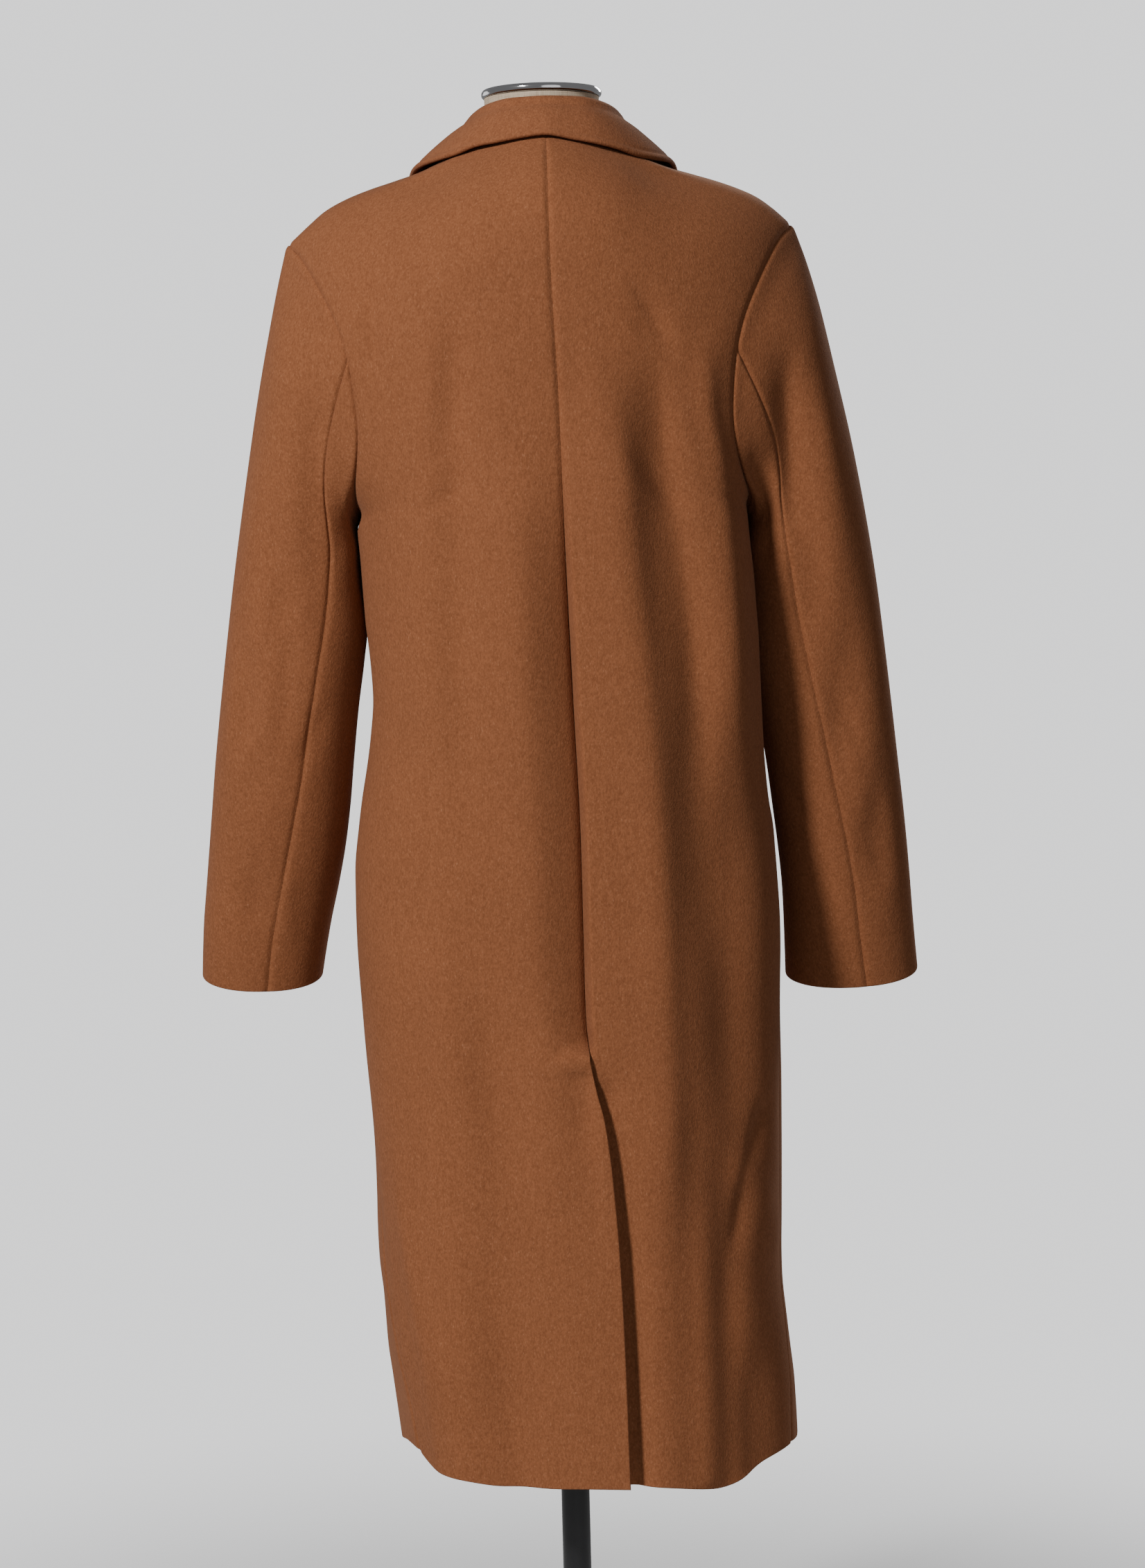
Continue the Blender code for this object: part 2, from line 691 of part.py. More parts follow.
def ring_point(side, ring, turn):
    middle, out, back = sleeve_ring(side, ring)
    power = 2 / SLEEVE_SQUARE
    return (middle + out * signed_power(math.cos(math.radians(turn)), power)
            + back * signed_power(math.sin(math.radians(turn)), power))


def sleeve_turns(side):
    """For each column the turn it has at the armhole, rising from the underarm at 180 down."""
    middle, out, back = sleeve_ring(side, 0)
    turns = []
    for part, level in armhole_loop(side):
        away = edge_point(part, side, level)[0] - middle
        turn = math.degrees(math.atan2(away @ back / (back @ back), away @ out / (out @ out)))
        if part == "front":
            turn -= 360 if turn > 0 else 0
        if part == "back" and turn < 0:
            turn += 360
        turns.append(turn)
    return turns


def settled_turns(side, ring, loop):
    """Turns of the columns lower down, evenly spaced between the two seams."""
    hind = SLEEVES[side].at("seam", ring)
    forearm = FOREARM_SEAM
    start = loop.index(("back", HIND_SEAM_LEVEL))
    end = loop.index(("front", FOREARM_SEAM_LEVEL))
    count = len(loop)
    turns = [0.0] * count
    for k in range(start, end + 1):
        turns[k] = hind + (forearm - 360 - hind) * (k - start) / (end - start)
    under = count - (end - start)
    for k in range(1, under):
        column = (end + k) % count
        turn = forearm + (hind - forearm) * k / under
        turns[column] = turn if column <= start else turn - 360
    return turns


def sleeve_fold_height(side, ring, turn):
    total = 0.0
    for fold in SLEEVE_FOLDS:
        if fold.side != side or not fold.top <= ring <= fold.bottom:
            continue
        down = (ring - fold.top) / (fold.bottom - fold.top)
        at = fold.at_top + (fold.at_bottom - fold.at_top) * down
        off = abs((turn - at + 180) % 360 - 180) / fold.half_width
        if off < 1:
            total += fold.height * (1 + math.cos(math.pi * off)) / 2 * math.sin(math.pi * down)
    return total


def sleeve_grid(side):
    """Outer points, outward directions and the armhole's seam directions of one sleeve."""
    loop = armhole_loop(side)
    count = len(loop)
    edges = [edge_point(part, side, level) for part, level in loop]
    start_turns = sleeve_turns(side)
    plain = np.zeros((len(SLEEVE_RINGS), count, 3))
    turns = np.zeros((len(SLEEVE_RINGS), count))
    for r, ring in enumerate(SLEEVE_RINGS):
        settled = settled_turns(side, ring, loop)
        mix = smooth(ring / SEAM_SETTLE)
        keep = 1 - smooth(ring / ARMHOLE_FADE)
        for k in range(count):
            turn = start_turns[k] + (settled[k] - start_turns[k]) * mix
            own = edges[k][0] - ring_point(side, 0, start_turns[k])
            plain[r, k] = ring_point(side, ring, turn) + own * keep
            turns[r, k] = turn
    middles = np.array([sleeve_ring(side, ring)[0] for ring in SLEEVE_RINGS])
    normals = np.zeros_like(plain)
    for r in range(len(SLEEVE_RINGS)):
        above, below = max(r - 1, 0), min(r + 1, len(SLEEVE_RINGS) - 1)
        for k in range(count):
            round_it = plain[r, (k + 1) % count] - plain[r, k - 1]
            normal = unit(np.cross(round_it, plain[below, k] - plain[above, k]))
            away = plain[r, k] - middles[r]
            normals[r, k] = normal if normal @ away > 0 else -normal
    middle = plain[0].mean(axis=0)
    seam_ways = []
    for k in range(count):
        radial = unit(plain[0, k] - middle)
        shared = unit(edges[k][1] + normals[0, k] + radial)
        along = unit(plain[0, (k + 1) % count] - plain[0, k - 1])
        way = unit(np.cross(shared, along))
        if way @ (plain[1, k] - plain[0, k]) < 0:
            way = -way
        shared = unit(shared - along * (shared @ along))
        normals[0, k] = shared
        seam_ways.append(way)
    outer = plain.copy()
    for r, ring in enumerate(SLEEVE_RINGS):
        for k in range(count):
            outer[r, k] += normals[r, k] * sleeve_fold_height(side, ring, turns[r, k])
    return outer, normals, np.array(seam_ways)


def build_sleeve(side, grid):
    outer, normals, ways = grid
    loop = armhole_loop(side)
    count = len(loop)
    hind = loop.index(("back", HIND_SEAM_LEVEL))
    forearm = loop.index(("front", FOREARM_SEAM_LEVEL))
    pieces = {
        "top": list(range(hind, forearm + 1)),
        "under": list(range(forearm, count)) + list(range(0, hind + 1)),
    }
    for piece, columns in pieces.items():
        face, lining = [], []
        for r in range(len(SLEEVE_RINGS)):
            row = []
            for place, k in enumerate(columns):
                point = outer[r, k].copy()
                if r == 0:
                    point += ways[k] * HALF_GAP
                if place in (0, len(columns) - 1):
                    along = unit(outer[r, (k + 1) % count] - outer[r, k - 1])
                    point += along * (HALF_GAP if place == 0 else -HALF_GAP)
                row.append(point)
            face.append(row)
            lining.append([p - normals[r, k] * CLOTH for p, k in zip(row, columns)])
        wall_object(f"sleeve_{piece}_{side}", face, lining, WOOL)


# ---- the body's panels ----
def build_panel(part, side, sleeve):
    """A half of the back or of the front, mitred to the sleeve round the armhole."""
    _, sleeve_normals, ways = sleeve
    loop = armhole_loop(side)
    lap = panel_lap(part, side)
    outer, inner = [], []
    for level in body_levels():
        row_level = min(level, SHOULDER_SEAM - GAP_LEVEL)
        first = middle_turn(part, side, row_level)
        last = outer_turn(part, side, row_level)
        if last - first > 180:
            last -= 360
        if first - last > 180:
            last += 360
        face, lining = [], []
        for k in range(BODY_COLUMNS + 1):
            turn = first + (last - first) * k / BODY_COLUMNS
            point, behind, _ = skin_pair(row_level, turn, lap)
            face.append(point)
            lining.append(behind)
        if level >= UNDERARM:
            spot = ("back", level) if level in (UNDERARM, SHOULDER_SEAM) else (part, level)
            k = loop.index(spot)
            face[-1] = face[-1] - ways[k] * HALF_GAP
            lining[-1] = face[-1] - sleeve_normals[0, k] * CLOTH
        outer.append(face)
        inner.append(lining)
    wall_object(f"{part}_{side}", outer, inner, WOOL)
    return outer


# ---- what lies on the fronts ----
def laid_pair(level, x, side, lift, thickness):
    """Outer and inner point of a piece that lies on a front."""
    turn = turn_at(x, level, "front")
    under, _, normal = skin_pair(level, turn, front_lap(side))
    return under + normal * (lift + thickness), under + normal * lift


def build_lapel(side):
    """The turned-back lapel. The right one starts where the left front's edge uncovers it."""
    sign = 1 if side == "left" else -1
    start = LAPEL.rows[0, 0] if side == "left" else RIGHT_LAPEL_START
    levels = np.linspace(start, LAPEL.rows[-1, 0], LAPEL_ROWS)
    outer, inner = [], []
    for level in levels:
        roll_x = FRONT_EDGE.at("x", level) - ROLL_OVERHANG
        if side == "right":
            covered = LAPEL_CLEARANCE - FRONT_EDGE.at("x", level)
            roll_x = max(roll_x, covered)
        edge_x, edge_level = LAPEL.at("edge_x", level), LAPEL.at("edge_level", level)
        face, lining = [], []
        for k in range(LAPEL_COLUMNS + 1):
            share = k / LAPEL_COLUMNS
            x = roll_x + (edge_x - roll_x) * share
            row_level = level + (edge_level - level) * share
            swell = 2.5 * math.sin(math.pi * share)
            point, behind = laid_pair(row_level, sign * x, side, LAPEL_GAP + swell, LAPEL_CLOTH)
            face.append(point)
            lining.append(behind)
        outer.append(face)
        inner.append(lining)
    wall_object(f"lapel_{side}", outer, inner, WOOL_COLLAR)


def build_welt(side):
    """The slanted welt of a side pocket."""
    sign = 1 if side == "left" else -1
    start = np.array(WELT_TOP)
    slant = unit(np.array(WELT_BOTTOM) - start)
    across = np.array((-slant[1], slant[0]))
    outer, inner = [], []
    for r in range(WELT_ROWS):
        face, lining = [], []
        for c in range(WELT_COLUMNS):
            spot = start + slant * WELT_LENGTH * r / (WELT_ROWS - 1)
            spot = spot + across * WELT_WIDTH * (c / (WELT_COLUMNS - 1) - 0.5)
            point, behind = laid_pair(spot[1], sign * spot[0], side, LAID_GAP, WELT_CLOTH)
            face.append(point)
            lining.append(behind)
        outer.append(face)
        inner.append(lining)
    wall_object(f"pocket_welt_{side}", outer, inner, WOOL)


def depth_behind(grid, x, z):
    """The y of a panel's flat facets straight behind a point of the front view."""
    for r in range(len(grid) - 1):
        for c in range(len(grid[0]) - 1):
            a, b, d, e = grid[r][c], grid[r][c + 1], grid[r + 1][c + 1], grid[r + 1][c]
            for p, q, s in ((a, b, d), (a, d, e)):
                flat = np.array(((q[0] - p[0], s[0] - p[0]), (q[2] - p[2], s[2] - p[2])))
                if abs(np.linalg.det(flat)) < 1e-9:
                    continue
                u, v = np.linalg.solve(flat, (x - p[0], z - p[2]))
                if u >= -1e-6 and v >= -1e-6 and u + v <= 1 + 1e-6:
                    return p[1] + u * (q[1] - p[1]) + v * (s[1] - p[1])
    raise ValueError("no cloth there")


def build_buttons(panel):
    """Three buttons down the centre front, each square to the cloth it is sewn to."""
    profile = (
        (BUTTON_RADIUS * 0.72, 0.0),
        (BUTTON_RADIUS, BUTTON_THICKNESS * 0.35),
        (BUTTON_RADIUS, BUTTON_THICKNESS * 0.7),
        (BUTTON_RADIUS * 0.86, BUTTON_THICKNESS),
        (BUTTON_RADIUS * 0.7, BUTTON_THICKNESS * 0.72),
    )
    segments = 20
    for number, level in enumerate(BUTTON_LEVELS, start=1):
        left_y, right_y = (depth_behind(panel, x, level) for x in (-BUTTON_RADIUS, BUTTON_RADIUS))
        low_y, high_y = (depth_behind(panel, 0.0, level + z) for z in (-BUTTON_RADIUS, BUTTON_RADIUS))
        side_way = unit(np.array((2 * BUTTON_RADIUS, right_y - left_y, 0.0)))
        up_way = unit(np.array((0.0, high_y - low_y, 2 * BUTTON_RADIUS)))
        normal = unit(np.cross(side_way, up_way))
        up_way = np.cross(normal, side_way)
        seat = np.array((0.0, depth_behind(panel, 0.0, level), level))
        back = profile[0][0]
        raised = 0.0
        for k in range(segments):
            a = 2 * math.pi * k / segments
            spot = seat + back * (math.cos(a) * side_way + math.sin(a) * up_way)
            raised = max(raised, spot[1] - depth_behind(panel, spot[0], spot[2]))
        seat = seat + normal * (SEAM_GAP + raised)
        rings = []
        for radius, rise in profile:
            ring = []
            for k in range(segments):
                a = 2 * math.pi * k / segments
                ring.append(seat + normal * rise
                            + radius * (math.cos(a) * side_way + math.sin(a) * up_way))
            rings.append(ring)
        tube_object(f"button_{number}", rings, HORN)


# ---- the collar ----
def shoulder_height(x, y):
    """Height of the coat's shoulder above a point of the plan."""
    left, right = BODY.at("left", YOKE_START), BODY.at("right", YOKE_START)
    depth = BODY.at("back" if y >= 0 else "front", YOKE_START)
    share = min(abs(x - (left - right) / 2) / ((left + right) / 2), 0.999)
    reach = depth * math.sqrt(1 - share * share)
    fall = min(abs(y) / reach, 1.0)
    return ridge_height(x) - ROLL_DEPTH * (1 - math.sqrt(1 - fall * fall))


def collar_section(place, sign):
    """The middle line of the collar at one place: foot, stand, fold, fall, edge."""
    middle = COLLAR_MIDDLE * (1 - smooth((place - 3) / 2))
    foot_x, foot_y = COLLAR.at("foot_x", place) * sign + middle, COLLAR.at("foot_y", place)
    fold_x, fold_y = COLLAR.at("fold_x", place) * sign + middle, COLLAR.at("fold_y", place)
    edge_x, edge_y = COLLAR.at("edge_x", place) * sign + middle, COLLAR.at("edge_y", place)
    foot_z = shoulder_height(foot_x, foot_y) + COLLAR.at("foot_rise", place)
    foot = np.array((foot_x, foot_y, foot_z))
    edge = np.array((edge_x, edge_y, shoulder_height(edge_x, edge_y)))
    slope_x = shoulder_height(edge_x + 1, edge_y) - shoulder_height(edge_x - 1, edge_y)
    slope_y = shoulder_height(edge_x, edge_y + 1) - shoulder_height(edge_x, edge_y - 1)
    up = unit(np.array((-slope_x / 2, -slope_y / 2, 1.0)))
    edge = edge + up * (COLLAR_GAP + COLLAR_CLOTH / 2)
    fold = np.array((fold_x, fold_y, COLLAR.at("fold_z", place)))
    away = unit(np.array((edge_x - fold_x, edge_y - fold_y, 0.0)))
    line = [foot, foot * 0.5 + (fold - away * COLLAR_FOLD / 2) * 0.5]
    for k in range(5):
        a = math.pi * k / 4
        line.append(fold + away * (-math.cos(a) * COLLAR_FOLD / 2)
                    + np.array((0, 0, math.sin(a) * COLLAR_FOLD / 2)))
    start = line[-1]
    control = start * 0.5 + edge * 0.5 + np.array((0, 0, 4.5)) + away * 2.5
    for t in (0.3, 0.62, 0.85, 1.0):
        line.append((1 - t) ** 2 * start + 2 * t * (1 - t) * control + t * t * edge)
    return line


def build_collar():
    """The stand and the fall, folded over, from one front end round the neck to the other."""
    halves = [(place, -1) for place in reversed(COLLAR_PLACES[1:])]
    halves += [(place, 1) for place in COLLAR_PLACES]
    lines = np.array([collar_section(place, sign) for place, sign in halves])
    stations, points = lines.shape[:2]
    outer, inner = np.zeros_like(lines), np.zeros_like(lines)
    for s in range(stations):
        before, after = max(s - 1, 0), min(s + 1, stations - 1)
        for p in range(points):
            along = lines[after, p] - lines[before, p]
            up = lines[s, min(p + 1, points - 1)] - lines[s, max(p - 1, 0)]
            normal = unit(np.cross(along, up))
            outer[s, p] = lines[s, p] - normal * COLLAR_CLOTH / 2
            inner[s, p] = lines[s, p] + normal * COLLAR_CLOTH / 2
    wall_object("collar", outer, inner, WOOL_COLLAR)


# ---- the dress form and its stand ----
def build_form():
    heights = sorted(set(FORM.rows[:, 0]) | {850.0, 950.0, 1095.0, 1165.0, 1235.0, 1300.0, 1352.0})
    rings = []
    for height in heights:
        power = 2 / FORM.at("square", height)
        ring = []
        for k in range(FORM_COLUMNS):
            a = 2 * math.pi * k / FORM_COLUMNS
            reach = FORM.at("back" if math.sin(a) >= 0 else "front", height)
            ring.append((FORM.at("half_x", height) * signed_power(math.cos(a), power),
                         reach * signed_power(math.sin(a), power), height))
        rings.append(ring)
    tube_object("form_torso", rings, LINEN)
    cap_bottom = NECK_TOP + SEAM_GAP
    turned_object("neck_cap", (
        (CAP_RADIUS - 2.0, cap_bottom),
        (CAP_RADIUS, cap_bottom + 2.0),
        (CAP_RADIUS, cap_bottom + CAP_THICKNESS - 2.2),
        (CAP_RADIUS - 2.2, cap_bottom + CAP_THICKNESS),
        (CAP_RADIUS * 0.5, cap_bottom + CAP_THICKNESS + 0.8),
        (4.0, cap_bottom + CAP_THICKNESS + 1.2),
    ), 32, CHROME)
    turned_object("stand_pole", (
        (POLE_RADIUS, BASE_THICKNESS + 22.0 + SEAM_GAP),
        (POLE_RADIUS, FORM_BOTTOM - SEAM_GAP),
    ), 28, BLACK)
    turned_object("stand_base", (
        (BASE_RADIUS - 2.0, 0.0),
        (BASE_RADIUS, 2.0),
        (BASE_RADIUS, BASE_THICKNESS - 3.0),
        (BASE_RADIUS - 3.0, BASE_THICKNESS - 0.5),
        (60.0, BASE_THICKNESS + 3.0),
        (26.0, BASE_THICKNESS + 5.0),
        (20.0, BASE_THICKNESS + 9.0),
        (18.0, BASE_THICKNESS + 22.0),
    ), 36, BLACK)


def build():
    for old in list(bpy.data.objects):
        bpy.data.objects.remove(old, do_unlink=True)
    for side in ("left", "right"):
        sleeve = sleeve_grid(side)
        build_sleeve(side, sleeve)
        build_panel("back", side, sleeve)
        front = build_panel("front", side, sleeve)
        build_lapel(side)
        build_welt(side)
        if side == "left":
            build_buttons(front)
    build_collar()
    build_form()


build()
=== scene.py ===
# %% [markdown]
# # A brown wool long coat on a dress form
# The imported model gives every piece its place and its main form: the cut pieces of a long
# wool coat, and the dress form that carries it. This script reads each cloth piece back from
# its solid as rows and columns of points, draws it again much finer, adds creases, seams and
# rolled edges, and covers it with felted wool. The hard pieces are turned again in finer
# steps, with the rims, holes and threads that a close look finds.

import math
from collections import namedtuple

import bpy
import numpy as np
from mathutils import Matrix, Vector


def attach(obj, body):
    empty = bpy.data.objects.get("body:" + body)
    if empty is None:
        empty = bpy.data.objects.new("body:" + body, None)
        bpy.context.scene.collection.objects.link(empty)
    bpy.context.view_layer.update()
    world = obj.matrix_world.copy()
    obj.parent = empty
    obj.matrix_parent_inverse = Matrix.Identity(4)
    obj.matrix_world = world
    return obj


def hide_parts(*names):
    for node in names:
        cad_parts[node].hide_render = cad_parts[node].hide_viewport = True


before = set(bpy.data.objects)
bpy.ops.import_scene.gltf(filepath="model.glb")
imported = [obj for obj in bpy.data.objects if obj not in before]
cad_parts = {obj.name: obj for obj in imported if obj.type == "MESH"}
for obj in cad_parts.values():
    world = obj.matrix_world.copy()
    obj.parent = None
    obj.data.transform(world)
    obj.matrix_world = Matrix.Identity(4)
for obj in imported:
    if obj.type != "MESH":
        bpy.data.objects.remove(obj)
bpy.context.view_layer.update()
MM = 0.001

# %% [markdown]
# ## Camera
# The coat is seen from behind, from a little under three metres away, with the camera at
# chest height, tipped down by about four degrees and turned a little in its own plane.

# %% Camera
CAMERA_AT = (-0.0125, 2.97, 1.12)
CAMERA_LENS = 78.0
CAMERA_PITCH = 3.87
CAMERA_ROLL = 1.386
SENSOR_WIDTH = 36.0


def add_object(name, data):
    made = bpy.data.objects.new(name, data)
    bpy.context.scene.collection.objects.link(made)
    return made


def place_camera():
    pitch, roll = math.radians(CAMERA_PITCH), math.radians(-CAMERA_ROLL)
    forward = np.array((0, -math.cos(pitch), -math.sin(pitch)))
    level = np.array((-1.0, 0.0, 0.0))
    upright = np.cross(level, forward)
    right = level * math.cos(roll) + upright * math.sin(roll)
    up = upright * math.cos(roll) - level * math.sin(roll)
    data = bpy.data.cameras.new("studio_camera")
    data.lens = CAMERA_LENS
    data.sensor_width = SENSOR_WIDTH
    camera = add_object("studio_camera", data)
    turned = Matrix((right, up, -forward)).transposed().to_4x4()
    camera.matrix_world = Matrix.Translation(Vector(CAMERA_AT)) @ turned
    bpy.context.scene.camera = camera
    return camera


print("camera at", tuple(round(v, 3) for v in place_camera().location))

# %% [markdown]
# ## Small helpers for node trees
# A material is a graph of nodes. A few short helpers keep its making readable: one adds a
# node with its settings and plain values, one joins an output to an input, and one starts a
# new material from its main shader.

# %% Nodes and links
def set_inputs(node, values):
    for name, value in values.items():
        node.inputs[name].default_value = value


def add_node(tree, kind, inputs=None, **settings):
    made = tree.nodes.new(kind)
    for name, value in settings.items():
        setattr(made, name, value)
    set_inputs(made, inputs or {})
    return made


def link(tree, source, target):
    tree.links.new(source, target)


def feed(tree, sockets, values):
    """Each socket gets a plain value, or a link where the value is another node's output."""
    for socket, value in zip(sockets, values):
        if isinstance(value, (int, float, tuple)):
            socket.default_value = value
        else:
            link(tree, value, socket)


def colour(red, green, blue):
    return (red, green, blue, 1.0)


def mix_colours(tree, amount, first, second, blend="MIX"):
    made = add_node(tree, "ShaderNodeMix", data_type="RGBA", blend_type=blend)
    feed(tree, (made.inputs[0], made.inputs[6], made.inputs[7]), (amount, first, second))
    return made.outputs[2]


def new_material(name):
    material = bpy.data.materials.new(name)
    material.use_nodes = True
    return material, material.node_tree, material.node_tree.nodes["Principled BSDF"]


# %% [markdown]
# ## Floor, surround and light
# A studio paper has no horizon. The pale floor fades out with its distance from the stand,
# and the surround behind it has the same tone. The surround is bright to the eye, dimmer in
# a mirror, as a studio's dark walls are, and gives the cloth only a weak light from all
# sides, so that the lamps can model the folds. The key is a soft lamp beside the wearer's
# left shoulder, behind the back. Others light the front, which a viewer may walk round to.

# %% Surround
SURROUND_TONE = colour(0.60, 0.60, 0.605)
SURROUND_SEEN = 2.2
SURROUND_LIGHT = 0.20
SURROUND_MIRRORED = 0.42


def build_surround():
    world = bpy.data.worlds.new("studio")
    world.use_nodes = True
    tree = world.node_tree
    seen = tree.nodes["Background"]
    set_inputs(seen, {"Color": SURROUND_TONE, "Strength": SURROUND_SEEN})
    ray = add_node(tree, "ShaderNodeLightPath")
    shown = seen.outputs[0]
    for title, strength in (("Is Diffuse Ray", SURROUND_LIGHT),
                            ("Is Glossy Ray", SURROUND_MIRRORED)):
        weak = add_node(tree, "ShaderNodeBackground",
                        {"Color": SURROUND_TONE, "Strength": strength})
        spread = add_node(tree, "ShaderNodeMixShader")
        feed(tree, spread.inputs, (ray.outputs[title], shown, weak.outputs[0]))
        shown = spread.outputs[0]
    link(tree, shown, tree.nodes["World Output"].inputs["Surface"])
    bpy.context.scene.world = world


build_surround()

# %% Floor
FLOOR_RADIUS = 4.0
FLOOR_TONES = (colour(0.66, 0.66, 0.655), colour(0.70, 0.70, 0.695))
FLOOR_FADE = (0.30, 1.5)    # metres from the stand, between which the floor fades out
FLOOR_GRAIN = 180.0
FLOOR_SEGMENTS = 96


def make_mesh(name, points, faces):
    mesh = bpy.data.meshes.new(name)
    mesh.from_pydata(points, [], faces)
    return mesh


def disc_mesh(name, radius, segments):
    turns = [2 * math.pi * k / segments for k in range(segments)]
    points = [(0.0, 0.0, 0.0)]
    points += [(radius * math.cos(turn), radius * math.sin(turn), 0.0) for turn in turns]
    faces = [(0, 1 + k, 1 + (k + 1) % segments) for k in range(segments)]
    return make_mesh(name, points, faces)


def floor_material():
    material, tree, shader = new_material("pale_floor")
    set_inputs(shader, {"Roughness": 0.85, "Specular IOR Level": 0.1})
    place = add_node(tree, "ShaderNodeTexCoord").outputs["Object"]
    grain = add_node(tree, "ShaderNodeTexNoise", {"Scale": FLOOR_GRAIN, "Detail": 3.0})
    away = add_node(tree, "ShaderNodeVectorMath", operation="LENGTH")
    fade = add_node(tree, "ShaderNodeMapRange",
                    {"From Min": FLOOR_FADE[0], "From Max": FLOOR_FADE[1]},
                    interpolation_type="SMOOTHSTEP")
    clear = add_node(tree, "ShaderNodeBsdfTransparent")
    mix = add_node(tree, "ShaderNodeMixShader")
    link(tree, place, grain.inputs["Vector"])
    tone = mix_colours(tree, grain.outputs["Fac"], *FLOOR_TONES)
    link(tree, tone, shader.inputs["Base Color"])
    link(tree, place, away.inputs[0])
    link(tree, away.outputs["Value"], fade.inputs["Value"])
    feed(tree, mix.inputs, (fade.outputs["Result"], shader.outputs[0], clear.outputs[0]))
    link(tree, mix.outputs[0], tree.nodes["Material Output"].inputs["Surface"])
    return material


def build_floor():
    mesh = disc_mesh("floor", FLOOR_RADIUS, FLOOR_SEGMENTS)
    mesh.materials.append(floor_material())
    add_object("floor", mesh)


build_floor()

# %% Lamps
Lamp = namedtuple("Lamp", "name place aim size watts")
LAMPS = (
    Lamp("key", (2.35, 3.1, 2.95), (0.0, 0.05, 1.1), 0.7, 206.0),
    Lamp("fill", (-1.1, 3.2, 1.6), (0.0, 0.0, 0.9), 2.2, 15.0),
    Lamp("front_key", (-1.6, -2.8, 2.4), (0.0, 0.0, 1.0), 1.2, 48.0),
    Lamp("front_fill", (2.4, -2.4, 1.2), (0.0, 0.0, 0.9), 2.0, 14.0),
)


def build_lamps():
    for lamp in LAMPS:
        data = bpy.data.lights.new(lamp.name, "AREA")
        data.shape = "DISK"
        data.size = lamp.size
        data.energy = lamp.watts
        made = add_object(lamp.name, data)
        made.location = lamp.place
        way = Vector(lamp.aim) - Vector(lamp.place)
        made.rotation_euler = way.to_track_quat("-Z", "Y").to_euler()


build_lamps()
print(len(LAMPS), "lamps")

# %% [markdown]
# ## Felted wool
# The cloth is a wool coating that was woven, then felted and brushed, so that a short nap hides the
# threads. Close up it is a field of soft pebbles about a millimetre and a half across, which run a
# little longer down the cloth than across it. Their tone follows their height: the hollows are
# painted darker, as painted shade, and specks on the high places are painted pale, as painted
# highlights on the fibre tips; the slow changes of tone over a hand's width are the cloth's own.
# One node group gives the tone and the height of that field. The place in the object's own space
# drives it, so the grain runs on from one cut piece to the next and doesn't slide when the view
# turns.

# %% Felted wool group
GRAIN = 640.0          # the scales of four noises: the single pebbles,
CLUMPS = 260.0         # clumps of them,
HAND = 13.0            # the slow change over a hand's width,
TIPS = 1500.0          # and the fibre tips
GRAIN_SHARE = 0.72     # the pebbles' share of the height; the clumps give the rest
# How strongly the painted highlight shows on the fibre tips.
TIP_HIGHLIGHT_SHARE = 0.55
SLOW_TONE = 0.025
DOWN_THE_CLOTH = (1.0, 1.0, 0.62)
DOWN_A_HAIR = (1.0, 1.0, 0.22)


def new_group(name, inputs, outputs):
    group = bpy.data.node_groups.new(name, "ShaderNodeTree")
    for title, kind in inputs:
        group.interface.new_socket(title, in_out="INPUT", socket_type=kind)
    for title, kind in outputs:
        group.interface.new_socket(title, in_out="OUTPUT", socket_type=kind)
    return group, add_node(group, "NodeGroupInput"), add_node(group, "NodeGroupOutput")


def math_node(tree, operation, first, second):
    made = add_node(tree, "ShaderNodeMath", operation=operation)
    feed(tree, made.inputs, (first, second))
    return made.outputs[0]


def noise(tree, place, scale, detail=2.0, roughness=0.5):
    made = add_node(tree, "ShaderNodeTexNoise",
                    {"Scale": scale, "Detail": detail, "Roughness": roughness})
    link(tree, place, made.inputs["Vector"])
    return made.outputs["Fac"]


def stretch(tree, place, scale):
    made = add_node(tree, "ShaderNodeVectorMath", operation="MULTIPLY")
    feed(tree, made.inputs, (place, scale))
    return made.outputs[0]


def range_of(tree, value, low, high, to_low=0.0, to_high=1.0):
    made = add_node(tree, "ShaderNodeMapRange", {"From Min": low, "From Max": high,
                                                  "To Min": to_low, "To Max": to_high})
    link(tree, value, made.inputs["Value"])
    return made.outputs["Result"]


